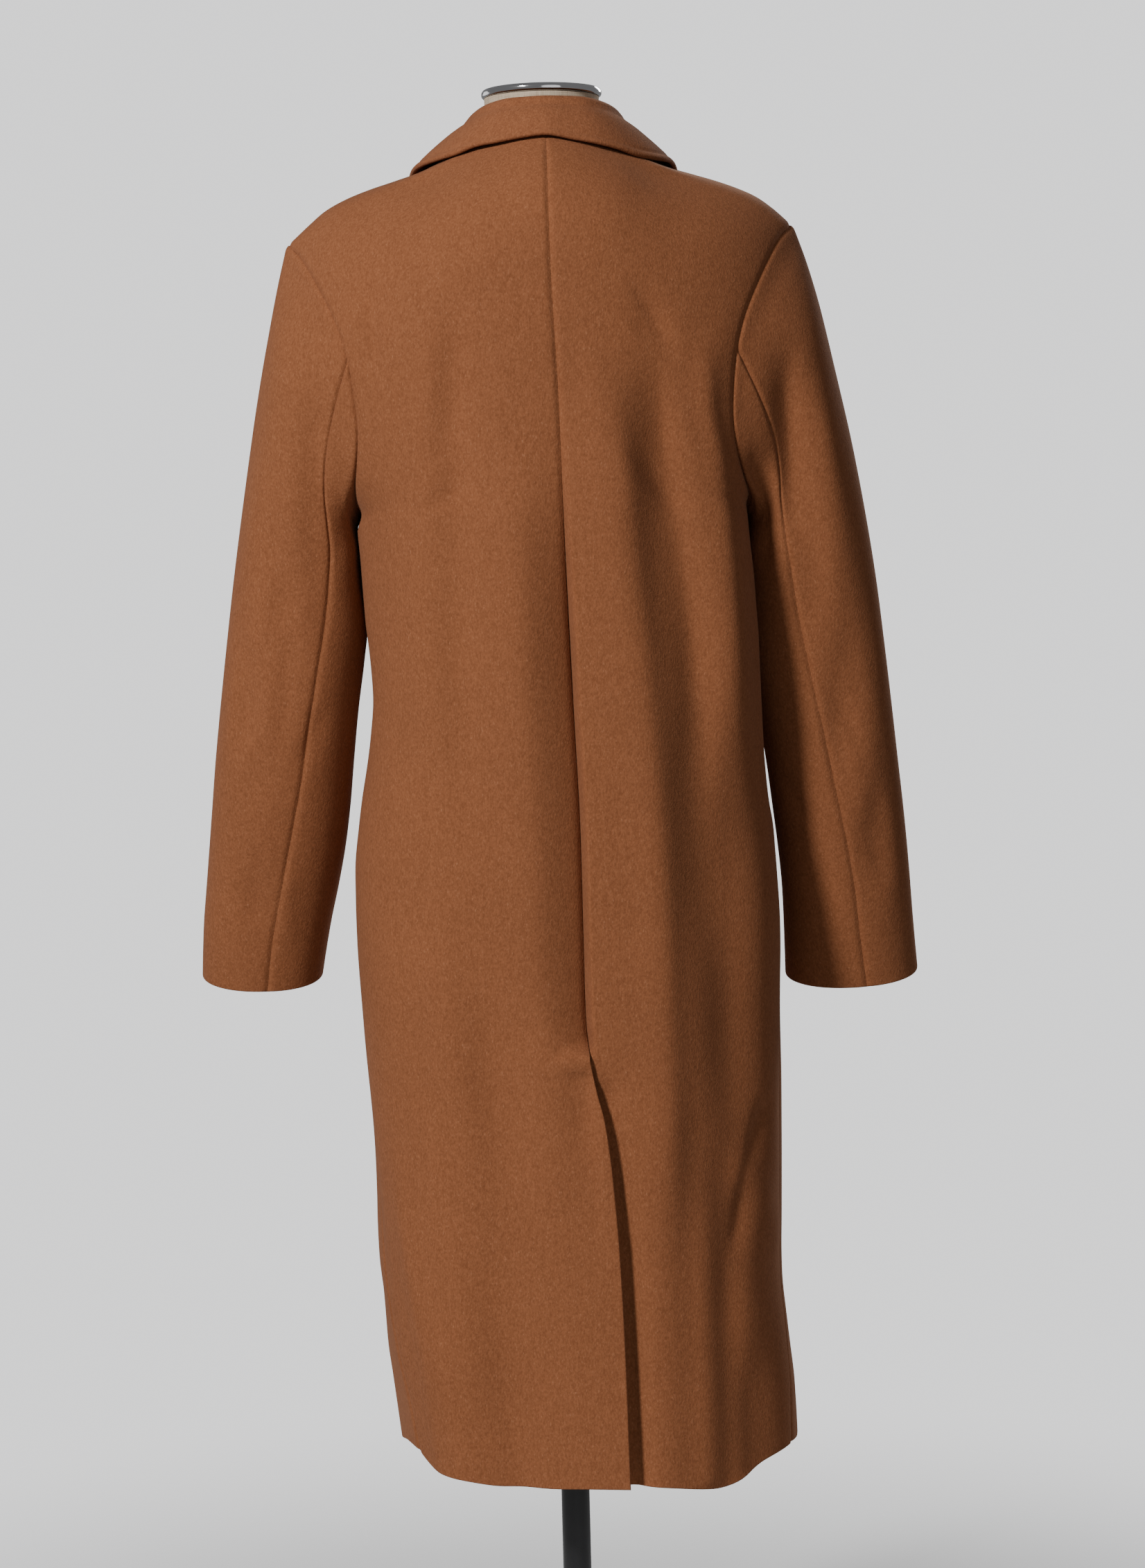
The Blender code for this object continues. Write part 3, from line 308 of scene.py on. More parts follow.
def felted_wool_group():
    group, given, result = new_group(
        "felted_wool",
        (("Hollow_shade", "NodeSocketColor"), ("Nap", "NodeSocketColor"), ("Tip_highlight", "NodeSocketColor")),
        (("Colour", "NodeSocketColor"), ("Height", "NodeSocketFloat")))
    place = add_node(group, "ShaderNodeTexCoord").outputs["Object"]
    down = stretch(group, place, DOWN_THE_CLOTH)
    grain = noise(group, down, GRAIN, 2.5, 0.6)
    clumps = noise(group, down, CLUMPS, 2.0, 0.5)
    hand = noise(group, place, HAND, 1.5, 0.5)
    hairs = noise(group, stretch(group, place, DOWN_A_HAIR), TIPS, 1.0, 0.5)
    height = math_node(group, "ADD", math_node(group, "MULTIPLY", grain, GRAIN_SHARE),
                       math_node(group, "MULTIPLY", clumps, 1 - GRAIN_SHARE))
    # The low places of the pebbles get the darker hollow tone: painted shade, on a grain that is
    # the cloth's own.
    tone = mix_colours(group, range_of(group, height, 0.34, 0.66), given.outputs["Hollow_shade"],
                       given.outputs["Nap"])
    # Pale specks on the high places of the pebbles: a painted highlight on the fibre tips.
    tip_highlight_mask = math_node(group, "MULTIPLY", range_of(group, hairs, 0.58, 0.78),
                     range_of(group, grain, 0.45, 0.65))
    tone = mix_colours(group, math_node(group, "MULTIPLY", tip_highlight_mask, TIP_HIGHLIGHT_SHARE), tone,
                       given.outputs["Tip_highlight"])
    shade = add_node(group, "ShaderNodeCombineColor")
    slow = range_of(group, hand, 0.3, 0.7, 1 - SLOW_TONE, 1 + SLOW_TONE)
    for channel in shade.inputs[:3]:
        link(group, slow, channel)
    tone = mix_colours(group, 1.0, tone, shade.outputs[0], "MULTIPLY")
    link(group, tone, result.inputs["Colour"])
    link(group, height, result.inputs["Height"])
    return group


FELTED_WOOL = felted_wool_group()
print("felted_wool group with", len(FELTED_WOOL.nodes), "nodes")

# %% [markdown]
# ## Wool materials
# Each wool material puts the group's tone on the base colour and its height into a bump. The short
# nap scatters light at grazing angles, which the sheen gives: its weight is the same all over, so
# it stands on the shader's own socket. The collar and the lapels are two layers with a pressed
# edge. Their wool is a copy of the body's painted a touch paler, which is painted light on them.

# %% Wool materials
NAP_RISE = 0.0008      # metres


def bump(tree, shader, height, strength, distance):
    made = add_node(tree, "ShaderNodeBump", {"Strength": strength, "Distance": distance})
    link(tree, height, made.inputs["Height"])
    link(tree, made.outputs["Normal"], shader.inputs["Normal"])


def wool_material(name, hollow_shade, nap, tip_highlight):
    material, tree, shader = new_material(name)
    wool = add_node(tree, "ShaderNodeGroup", node_tree=FELTED_WOOL)
    set_inputs(wool, {"Hollow_shade": hollow_shade, "Nap": nap, "Tip_highlight": tip_highlight})
    link(tree, wool.outputs["Colour"], shader.inputs["Base Color"])
    set_inputs(shader, {"Roughness": 0.95, "Specular IOR Level": 0.12, "Sheen Weight": 0.10,
                        "Sheen Roughness": 0.45, "Sheen Tint": colour(0.95, 0.62, 0.42)})
    bump(tree, shader, wool.outputs["Height"], 0.75, NAP_RISE)
    return material


# Of the three colours, the first is the painted shade in the hollows and the last the painted
# highlight on the fibre tips.
WOOL = wool_material("brown_felted_wool", colour(0.190, 0.066, 0.027),
                     colour(0.276, 0.102, 0.044), colour(0.42, 0.205, 0.11))
# A copy of the body's wool painted a touch paler for the collar and the lapels: painted light.
LIT_COLLAR_WOOL = wool_material("brown_felted_wool_lit_copy", colour(0.194, 0.068, 0.029),
                            colour(0.282, 0.105, 0.046), colour(0.43, 0.215, 0.12))
print("two wools made")

# %% [markdown]
# ## Reading a cloth solid
# A cut piece's solid is two matching sheets, the right side of the cloth and its inside, closed
# round the rim. Each sheet is a grid of points, split into triangles. A patch that stops at the
# sharp rim is one sheet, and from the corners of its border the grid can be walked back into rows
# and columns. That keeps the drawn cloth on the very form that the solid has, whatever the order of
# its points in model.glb.

# %% Points and triangles of a node
SHARP = math.cos(math.radians(45))


def read_triangles(node):
    """Single points and triangles of a CAD node."""
    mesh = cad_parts[node].data
    raw = np.zeros(len(mesh.vertices) * 3, np.float32)
    mesh.vertices.foreach_get("co", raw)
    raw = raw.reshape(-1, 3).astype(float)
    _, first, again = np.unique(np.round(raw, 6), axis=0, return_index=True, return_inverse=True)
    again = again.ravel()
    return raw[first], [tuple(int(again[i]) for i in p.vertices) for p in mesh.polygons]


# %% Two sheets of a wall
def smooth_patch(faces, normals, seed, beside):
    """The triangles that a smooth surface joins to the seed."""
    found, waiting = {seed}, [seed]
    while waiting:
        f = waiting.pop()
        a, b, c = faces[f]
        for edge in ((b, a), (c, b), (a, c)):
            other = beside.get(edge, -1)
            if other >= 0 and other not in found and normals[f] @ normals[other] > SHARP:
                found.add(other)
                waiting.append(other)
    return sorted(found)


def two_sheets(points, faces, count):
    """The two sheets of a wall with the given number of points each, the larger one first."""
    corners = points[np.array(faces)]
    normals = np.cross(corners[:, 1] - corners[:, 0], corners[:, 2] - corners[:, 0])
    areas = np.linalg.norm(normals, axis=1)
    normals = normals / np.maximum(areas, 1e-15)[:, None]
    beside = {}
    for f, (a, b, c) in enumerate(faces):
        for edge in ((a, b), (b, c), (c, a)):
            beside[edge] = f
    seen = set()
    for seed in range(len(faces)):
        if seed in seen:
            continue
        patch = smooth_patch(faces, normals, seed, beside)
        seen.update(patch)
        held = {v for f in patch for v in faces[f]}
        if len(held) == count:
            break
    else:
        raise ValueError("no clean sheet")
    rest = [f for f, face in enumerate(faces) if not held.intersection(face)]
    pair = sorted((patch, rest), key=lambda part: -areas[part].sum())
    return [[faces[f] for f in part] for part in pair]


# %% Rows and columns of a sheet
def walk_grid(points, faces, rows, columns):
    """Rows and columns of point numbers of one sheet."""
    third = {}
    for a, b, c in faces:
        third[(a, b)], third[(b, c)], third[(c, a)] = c, a, b
    after = {a: b for a, b in third if (b, a) not in third}
    rim = [next(iter(after))]
    while after[rim[-1]] != rim[0]:
        rim.append(after[rim[-1]])
    count = len(rim)
    if count != 2 * (rows + columns) - 4:
        raise ValueError(f"rim of {count} points for {rows} by {columns}")
    spots = points[rim]
    ahead = np.roll(spots, -1, axis=0) - spots
    ahead /= np.linalg.norm(ahead, axis=1)[:, None]
    bend = np.arccos(np.clip((ahead * np.roll(ahead, 1, axis=0)).sum(axis=1), -1, 1))
    turns = (0, columns - 1, columns + rows - 2, 2 * columns + rows - 3)
    best = max(range(count), key=lambda i: sum(bend[(i + s) % count] for s in turns))
    grid = np.zeros((rows, columns), int)
    for c in range(columns):
        grid[0, c] = rim[(best + c) % count]
    for r in range(rows):
        grid[r, 0] = rim[(best - r) % count]
    for r in range(1, rows):
        for c in range(1, columns):
            low, beside, above = grid[r - 1, c - 1], grid[r - 1, c], grid[r, c - 1]
            found = third[(low, beside)]
            grid[r, c] = third[(above, beside)] if found == above else found
    return grid


# %% Every wall of the coat
Wall = namedtuple("Wall", "rows columns across")
PAIRED_WALLS = {
    "back": Wall(43, 9, "x"),
    "front": Wall(43, 9, "x"),
    "sleeve_top": Wall(19, 15, "y"),
    "sleeve_under": Wall(19, 11, "y"),
    "lapel": Wall(14, 6, "x"),
    "pocket_welt": Wall(7, 3, "x"),
}
WALL_SIZES = {f"{part}_{side}": size for part, size in PAIRED_WALLS.items()
              for side in ("left", "right")}
WALL_SIZES["collar"] = Wall(29, 11, "out")
FACING_REACH = 0.008   # corners further apart than this, in metres, don't face each other


def far_out(points, across):
    """How far a border lies out: by x, by y, or round the neck."""
    if across == "x":
        return abs(points[:, 0].mean())
    if across == "y":
        return points[:, 1].mean()
    return np.hypot(points[:, 0], points[:, 1]).mean()


def read_wall(node, size):
    """Outer and inner points, row 0 at the low end and column 0 at the near side."""
    points, faces = read_triangles(node)
    sheets = two_sheets(points, faces, size.rows * size.columns)
    pair = []
    for sheet in sheets:
        grid = points[walk_grid(points, sheet, size.rows, size.columns)]
        if grid[0, :, 2].mean() > grid[-1, :, 2].mean():
            grid = grid[::-1]
        if far_out(grid[:, 0], size.across) > far_out(grid[:, -1], size.across):
            grid = grid[:, ::-1]
        pair.append(grid)
    outer, inner = pair
    if np.linalg.norm(inner[0, 0] - outer[0, 0]) > FACING_REACH:
        inner = inner[::-1]
    gap = np.linalg.norm(outer - inner, axis=2) / MM
    print(f"{node}: {size.rows} rows, {size.columns} columns,",
          f"wall {gap.min():.2f} to {gap.max():.2f} mm")
    return outer, inner


WALLS = {node: read_wall(node, size) for node, size in WALL_SIZES.items()}

# %% [markdown]
# ## Drawing a sheet finer
# Cubic curves run through the rows and then the columns of a wall, so two pieces that share
# a seam keep sharing it. The new points stand close together near the borders, where the
# cloth turns over into a seam or rolls round a free edge, and about four millimetres apart
# elsewhere, which is fine enough for a crease.

# %% Cubic curves through a grid
CELL = 4.2             # millimetres from point to point, away from the borders
NEAR_BORDER = (0.0, 0.35, 0.8, 1.4, 2.2, 3.2, 4.3, 5.4, 6.6, 8.0, 10.0)
NEAR_LEVEL = [0.7 * k for k in range(-7, 8)]
LEAST_STEP = 0.3


def stations(length, extra=()):
    """Places along a side of this length, close together at both ends and round each extra."""
    near = [v for v in NEAR_BORDER if v < length * 0.5 - 0.6]
    last = near[-1]
    count = max(2, int(round((length - 2 * last) / CELL)))
    places = set(near)
    places.update(last + (length - 2 * last) * k / count for k in range(1, count))
    places.update(length - v for v in near)
    for centre in extra:
        places.update(centre + step for step in NEAR_LEVEL)
    ordered = sorted(places)
    kept = ordered[:1]
    for place in ordered[1:]:
        if place - kept[-1] > LEAST_STEP:
            kept.append(place)
    kept[-1] = length
    return np.array(kept)


def cubic_along(grid, knots, places, corners=()):
    """The smooth curves through grid[k] at knots[k], read at the given places.

    At a corner, the curve above it takes no notice of what lies below."""
    step = np.diff(knots)
    slope = np.diff(grid, axis=0) / step[:, None, None]
    tangent = np.zeros_like(grid)
    weight = (step[1:] / (step[1:] + step[:-1]))[:, None, None]
    tangent[1:-1] = weight * slope[:-1] + (1 - weight) * slope[1:]
    tangent[0] = (3 * slope[0] - tangent[1]) / 2
    tangent[-1] = (3 * slope[-1] - tangent[-2]) / 2
    upward = tangent.copy()
    for row in corners:
        upward[row] = slope[row]
        tangent[row] = slope[row - 1]
    k = np.clip(np.searchsorted(knots, places, side="right") - 1, 0, len(step) - 1)
    t = ((places - knots[k]) / step[k])[:, None, None]
    width = step[k][:, None, None]
    return ((2 * t ** 3 - 3 * t ** 2 + 1) * grid[k] + (t ** 3 - 2 * t ** 2 + t) * width * upward[k]
            + (3 * t ** 2 - 2 * t ** 3) * grid[k + 1] + (t ** 3 - t ** 2) * width * tangent[k + 1])


def mean_knots(grid):
    """Distances along the rows of a grid, averaged over its columns, in millimetres."""
    step = np.linalg.norm(np.diff(grid, axis=0), axis=2).mean(axis=1)
    return np.concatenate(([0.0], np.cumsum(step))) / MM


def finer(outer, inner, levels=(), corner_level=None):
    """Both sheets drawn again at fine stations, with extra rows round the given levels."""
    knots = mean_knots(outer)
    heights = outer[:, :, 2].mean(axis=1) / MM
    places = stations(knots[-1], [float(np.interp(level, heights, knots)) for level in levels])
    corners = ()
    if corner_level is not None:
        corners = (int(np.argmin(abs(outer[:, 0, 2] / MM - corner_level))),)
        places = np.unique(np.append(places, knots[corners[0]]))
    outer, inner = (cubic_along(grid, knots, places, corners).swapaxes(0, 1)
                    for grid in (outer, inner))
    knots = mean_knots(outer)
    places = stations(knots[-1])
    return [cubic_along(grid, knots, places).swapaxes(0, 1) for grid in (outer, inner)]


def border_distance(grid):
    """Millimetres from each point to the low, high, first and last border of its grid."""
    down = np.linalg.norm(np.diff(grid, axis=0), axis=2) / MM
    along = np.concatenate((np.zeros((1, grid.shape[1])), np.cumsum(down, axis=0)))
    across = np.linalg.norm(np.diff(grid, axis=1), axis=2) / MM
    sideways = np.concatenate((np.zeros((grid.shape[0], 1)), np.cumsum(across, axis=1)), axis=1)
    return {"low": along, "high": along[-1] - along,
            "first": sideways, "last": sideways[:, -1:] - sideways}


# %% [markdown]
# ## Creases
# A heavy coat hangs in long soft folds. Each one here is a line of places on the coat, in
# millimetres, with a height, below zero for a trough, and with a width to either side, because one
# wall of a fold is often steeper than the other. They are set one by one, uneven in length, depth
# and spacing, and add the sharper part of the folds to the broad ones that the solids have. A
# crease works only where the cloth faces its side, back or front, and fades out along its ends.

# %% Table of creases
Crease = namedtuple("Crease", "side height left_width right_width top_fade low_fade line")


def crease_table(side, *rows):
    """One row a crease: height, two widths, two fades, and then the places of its line."""
    return tuple(Crease(side, *row[:5], row[5:]) for row in rows)


# x grows towards the wearer's left. The same kind of cloth hangs in front, from the chest
# and from the lapels.
BODY_CREASES = crease_table(
    "back",
    (-10.5, 22, 13, 120, 170, (-84, 1310), (-98, 1205), (-109, 1136), (-118, 1060), (-125, 980),
     (-129, 880)),
    (5.5, 14, 13, 80, 130, (-126, 1320), (-138, 1200), (-148, 1050), (-154, 930)),
    (6.5, 26, 15, 140, 150, (-49, 1290), (-60, 1173), (-71, 1055), (-77, 950), (-82, 870),
     (-85, 760), (-86, 640), (-86, 500)),
    (4.5, 13, 14, 130, 30, (-112, 640), (-115, 500), (-116, 335)),
    (-11.0, 27, 24, 170, 220, (-140, 1010), (-144, 860), (-146, 700), (-146, 500)),
    (-8.0, 16, 22, 90, 30, (-156, 470), (-158, 335)),
    (-4.5, 22, 7, 12, 200, (-17, 690), (-20, 600), (-26, 480)),
    (1.4, 16, 14, 160, 60, (32, 1200), (30, 1050), (27, 880), (26, 720)),
    (1.6, 16, 24, 160, 120, (-29, 1290), (-34, 1100), (-38, 900), (-43, 700), (-52, 590)),
    (4.5, 18, 14, 90, 160, (92, 1360), (99, 1250), (102, 1150), (101, 1000), (97, 840)),
    (-2.0, 11, 10, 100, 140, (74, 1340), (78, 1200), (77, 1040), (73, 880)),
    (-2.6, 9, 8, 30, 40, (150, 1362), (146, 1310), (142, 1255)),
    (-1.7, 6, 8, 25, 30, (-68, 1352), (-88, 1316), (-109, 1272)),
    (-0.9, 5, 6, 20, 26, (-58, 1336), (-75, 1312), (-90, 1284)),
    (-1.6, 16, 12, 60, 60, (-17, 1330), (-22, 1260), (-31, 1190)),
    (-3.8, 7, 9, 24, 30, (-178, 655), (-167, 621), (-148, 557), (-140, 515)),
    (5.0, 11, 24, 110, 30, (146, 640), (137, 545), (121, 440), (108, 335)),
    (-2.4, 20, 24, 120, 30, (64, 760), (58, 600), (50, 450), (44, 335)),
    (-1.5, 12, 12, 40, 50, (-8, 688), (-14, 650), (-22, 600)),
) + crease_table(
    "front",
    (-3.2, 18, 22, 90, 120, (118, 1290), (110, 1190), (104, 1080), (101, 1000)),
    (-2.8, 20, 15, 80, 110, (-112, 1300), (-104, 1200), (-97, 1090)),
    (3.2, 20, 16, 140, 30, (96, 880), (100, 700), (106, 520), (110, 335)),
    (-3.8, 16, 20, 120, 30, (66, 840), (67, 680), (70, 500), (73, 335)),
    (3.0, 18, 20, 120, 30, (-92, 860), (-97, 690), (-102, 520), (-106, 335)),
    (-3.4, 20, 15, 110, 30, (-60, 800), (-58, 640), (-56, 480), (-58, 335)),
    (-2.0, 8, 10, 30, 40, (158, 1120), (140, 1085), (118, 1062)),
    (-1.8, 9, 8, 30, 36, (-160, 1105), (-144, 1072), (-126, 1052)),
    (1.8, 12, 12, 90, 90, (142, 1000), (146, 860), (152, 700)),
)
SLEEVE_CREASES = crease_table(
    "back",
    (-9.0, 18, 13, 70, 80, (-203, 1310), (-206, 1240), (-206, 1180), (-205, 1110)),
    (-7.0, 13, 15, 40, 60, (-170, 1215), (-181, 1160), (-187, 1090)),
    (4.0, 13, 16, 70, 90, (-229, 1280), (-237, 1160), (-246, 1040)),
    (-2.4, 12, 14, 50, 60, (-236, 1060), (-247, 990), (-258, 905)),
    (1.5, 5, 6, 18, 22, (-243, 975), (-254, 950), (-265, 918)),
    (-1.6, 7, 8, 24, 26, (-262, 895), (-276, 860), (-288, 815)),
    (-1.5, 6, 7, 18, 22, (-193, 930), (-210, 898), (-224, 872)),
    (-1.8, 9, 9, 36, 40, (-226, 860), (-234, 810), (-240, 770)),
    (-4.6, 14, 12, 70, 80, (196, 1290), (202, 1200), (206, 1110), (208, 1040)),
    (1.8, 14, 14, 70, 80, (232, 1270), (243, 1150), (254, 1020)),
    (-2.2, 9, 11, 34, 50, (224, 1075), (233, 1010), (247, 930)),
    (-1.8, 8, 8, 26, 30, (262, 1060), (266, 1000), (270, 950)),
    (-1.7, 7, 9, 22, 30, (200, 1000), (214, 962), (230, 930)),
    (-1.6, 8, 9, 34, 34, (262, 880), (270, 830), (274, 790)),
    (1.4, 8, 8, 26, 34, (236, 860), (242, 815), (246, 772)),
) + crease_table(
    "front",
    (-3.0, 13, 15, 60, 70, (206, 1250), (214, 1160), (222, 1060)),
    (-2.6, 9, 11, 26, 34, (196, 1050), (222, 1020), (252, 1004)),
    (-2.2, 8, 10, 24, 32, (200, 1004), (228, 980), (258, 968)),
    (1.6, 12, 12, 50, 60, (262, 960), (270, 880), (276, 800)),
    (-3.2, 14, 13, 60, 70, (-210, 1260), (-216, 1170), (-222, 1080)),
    (-2.4, 10, 9, 28, 30, (-192, 1040), (-218, 1014), (-246, 1000)),
    (-2.1, 9, 8, 24, 30, (-198, 990), (-224, 962), (-256, 952)),
    (1.7, 11, 12, 50, 50, (-256, 950), (-264, 870), (-270, 790)),
)
print(len(BODY_CREASES), "creases on the body,", len(SLEEVE_CREASES), "on the sleeves")


# %% Height of the creases at each point
HEM_LEVEL = 335        # a crease with a short fade that ends here runs out over the hem
SHORT_FADE = 30
SIDE_CHANGE = 6.0      # millimetres over which the left width changes to the right one
FACING_CHANGE = 1.4    # how fast a crease goes as the cloth turns away from its side


def smooth(value):
    value = np.clip(value, 0, 1)
    return value * value * (3 - 2 * value)


def crease_height(points, facing, crease):
    x, z = points[..., 0] / MM, points[..., 2] / MM
    near = np.full(x.shape, 1e9)
    along = np.zeros(x.shape)
    leftward = np.zeros(x.shape)
    run = 0.0
    for (x0, z0), (x1, z1) in zip(crease.line, crease.line[1:]):
        length = math.hypot(x1 - x0, z1 - z0)
        ahead_x, ahead_z = (x1 - x0) / length, (z1 - z0) / length
        raw = (x - x0) * ahead_x + (z - z0) * ahead_z
        t = np.clip(raw, 0, length)
        away_x, away_z = x - x0 - t * ahead_x, z - z0 - t * ahead_z
        away = np.hypot(away_x, away_z)
        closer = away < near
        near = np.where(closer, away, near)
        along = np.where(closer, run + t, along)
        leftward = np.where(closer, away_z * ahead_x - away_x * ahead_z, leftward)
        run += length
    rightness = smooth(0.5 - leftward / SIDE_CHANGE)
    width = crease.left_width + (crease.right_width - crease.left_width) * rightness
    ends = smooth(along / crease.top_fade)
    if crease.low_fade > SHORT_FADE or crease.line[-1][1] > HEM_LEVEL:
        ends = ends * smooth((run - along) / crease.low_fade + 0.001)
    side = 1 if crease.side == "back" else -1
    shown = smooth(0.5 + side * facing * FACING_CHANGE)
    return crease.height * np.exp(-(near / width) ** 2) * ends * shown


def all_creases(table, points, facing):
    return sum(crease_height(points, facing, crease) for crease in table)


# %% [markdown]
# ## Seams and edges
# A sewn seam pulls both pieces in to a shallow valley, and the stitches draw their edges
# together. A free edge is turned under and pressed, so it is rounded over. The collar, the
# lapels, the welts and the front edges are sewn wrong side out and then turned, which leaves
# a thicker roll along them and a shallow groove a few millimetres in.

# %% Shapes of seams and edges
SEAM_DIP = 1.9
SEAM_REACH = 2.5
SEAM_CLOSE = 0.22      # how far the border of a sewn piece is drawn over the gap
LOW_SEAM_SINK = 0.85   # how far the right front steps in to meet the back near the hem
LOW_SEAM_GAP = 0.90    # and how much further it is drawn over there
LOW_SEAM_TOP = 460.0   # the step grows below this height,
LOW_SEAM_GROWTH = 110.0  # over this length
LOW_SEAM_REACH = 12.0
CORNER_ACROSS = 70.0   # the part of the hem's corner that is raised with it
CORNER_UP = 90.0
EDGE_ROUND = 1.7
ROLL_HEIGHT = 0.22
ROLL_AT = 2.8
ROLL_WIDTH = 2.4
GROOVE_AT = 6.6
GROOVE_DEPTH = 0.55
GROOVE_WIDTH = 1.7
VENT_TOP = 694.0
UNDERARM = 1155.0


def seam_dip(distance, depth=SEAM_DIP):
    return -depth * np.exp(-(distance / SEAM_REACH) ** 1.5)


def edge_inset(distance, wall):
    """How far each sheet goes towards the middle of the wall near a free edge."""
    radius = min(EDGE_ROUND, wall * 0.5)
    inside = np.clip(1 - distance / radius, 0, 1)
    return wall * 0.5 * (1 - np.sqrt(np.clip(1 - inside ** 2, 0.02, 1)))


def edge_roll(distance):
    """A pressed edge: a little thicker at the rim, with a groove inside it."""
    return (ROLL_HEIGHT * np.exp(-((distance - ROLL_AT) / ROLL_WIDTH) ** 2)
            - GROOVE_DEPTH * np.exp(-((distance - GROOVE_AT) / GROOVE_WIDTH) ** 2))


def above(level, reach=6.0):
    return lambda z: smooth((z - level) / reach + 0.5)


def below(level, reach=6.0):
    return lambda z: smooth((level - z) / reach + 0.5)


def everywhere(z):
    return np.ones_like(z)


def whole(*sides):
    """Borders that are free, or sewn, over their whole length."""
    return dict.fromkeys(sides, everywhere)


# %% Closed shell from two sheets
def shell_mesh(name, outer, inner):
    rows, columns = outer.shape[:2]
    count = rows * columns
    number = np.arange(count).reshape(rows, columns)
    front = np.stack((number[:-1, :-1], number[:-1, 1:], number[1:, 1:], number[1:, :-1]), axis=-1)
    front = front.reshape(-1, 4)
    back = front[:, ::-1] + count
    rim = np.concatenate((number[0, :-1], number[:-1, -1], number[-1, :0:-1], number[:0:-1, 0]))
    following = np.roll(rim, -1)
    border = np.stack((following, rim, rim + count, following + count), axis=-1)
    faces = np.concatenate((front, back, border))
    points = np.concatenate((outer.reshape(-1, 3), inner.reshape(-1, 3)))
    r, c = rows // 2, columns // 2
    normal = np.cross(outer[r, c + 1] - outer[r, c], outer[r + 1, c] - outer[r, c])
    if normal @ (outer[r, c] - inner[r, c]) < 0:
        faces = faces[:, ::-1]
    mesh = make_mesh(name, points.tolist(), faces.tolist())
    mesh.shade_smooth()
    return add_object(name, mesh)


# %% One cloth piece from its wall
BORDERS = {"low": (0,), "high": (-1,), "first": (slice(None), 0), "last": (slice(None), -1)}
NEXT_IN = {"low": (1,), "high": (-2,), "first": (slice(None), 1), "last": (slice(None), -2)}


def draw_together(grid, side, amount):
    """The border of a sewn piece moved out along the cloth, over half the seam's gap."""
    edge = grid[BORDERS[side]]
    way = edge - grid[NEXT_IN[side]]
    edge += way / np.linalg.norm(way, axis=1)[:, None] * (amount * MM)[:, None]


def close_low_seam(outer, inner, middle, out, distance, lift):
    """Near the hem a front drawn in and over to meet the back, and its corner raised."""
    z = middle[..., 2] / MM
    level = smooth((LOW_SEAM_TOP - z) / LOW_SEAM_GROWTH)
    sunk = LOW_SEAM_SINK * MM * level * smooth(1 - distance["last"] / LOW_SEAM_REACH)
    corner = (smooth(1 - distance["last"] / CORNER_ACROSS) * smooth(1 - distance["low"] / CORNER_UP)
              * lift * MM)
    upward = np.gradient(middle, axis=0)
    upward /= np.linalg.norm(upward, axis=2)[..., None]
    sheets = []
    for sheet in (outer, inner):
        sheet = sheet - out * sunk[..., None]
        draw_together(sheet, "last", LOW_SEAM_GAP * smooth((LOW_SEAM_TOP + 20 - z[:, -1]) / 70))
        sheets.append(sheet + upward * corner[..., None])
    return sheets


def dress_wall(outer, inner, free, sewn, creases=(), rolled=(), calm=None, levels=(),
               corner_level=None, special=None, lift=0.0):
    """Both sheets, creased, drawn in at the seams and rounded at the free edges."""
    outer, inner = finer(outer, inner, levels, corner_level)
    distance = border_distance(outer)
    thick = outer - inner
    wall = np.linalg.norm(thick, axis=2)
    out = thick / wall[..., None]
    wall_mm = float(wall.mean()) / MM
    middle = (outer + inner) / 2
    z = middle[..., 2] / MM
    move = np.zeros(wall.shape)
    if creases:
        move += all_creases(creases, middle, out[..., 1])
    if calm is not None:
        move *= calm(distance, z)
    if special is not None:
        move += special(middle, distance)
    inner = inner + out * (move * MM)[..., None]
    for side, where in sewn.items():
        move += seam_dip(distance[side], min(SEAM_DIP, wall_mm * 0.7)) * where(z)
    for side in rolled:
        move += edge_roll(distance[side])
    outer = outer + out * (move * MM)[..., None]
    for side, where in free.items():
        inset = edge_inset(distance[side], wall_mm) * where(z)
        outer = outer - out * (inset * MM)[..., None]
        inner = inner + out * (inset * MM)[..., None]
    for side, where in sewn.items():
        amount = SEAM_CLOSE * where(z[BORDERS[side]])
        draw_together(outer, side, amount)
        draw_together(inner, side, amount)
    if lift:
        outer, inner = close_low_seam(outer, inner, middle, out, distance, lift)
    return outer, inner


def print_cut(name, grid):
    """The widest row, the longest column and the area of a sheet, as it would lie flat."""
    across = np.linalg.norm(np.diff(grid, axis=1), axis=2).sum(axis=1).max()
    down = np.linalg.norm(np.diff(grid, axis=0), axis=2).sum(axis=0).max()
    first = np.cross(grid[:-1, 1:] - grid[:-1, :-1], grid[1:, :-1] - grid[:-1, :-1])
    second = np.cross(grid[1:, 1:] - grid[:-1, 1:], grid[1:, 1:] - grid[1:, :-1])
    area = (np.linalg.norm(first, axis=2) + np.linalg.norm(second, axis=2)).sum() / 2
    print(f"{name}: {across:.3f} m across, {down:.3f} m down, {area:.4f} square metres")


def build_cloth(node, slot, material, **shape):
    outer, inner = dress_wall(*WALLS[node], **shape)
    print_cut(node, outer)
    piece = shell_mesh(node + "_cloth", outer, inner)
    piece.data.materials.append(material)
    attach(piece, "root")
    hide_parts(node)
    print(piece.name, "has", len(piece.data.polygons) * 2, "triangles")


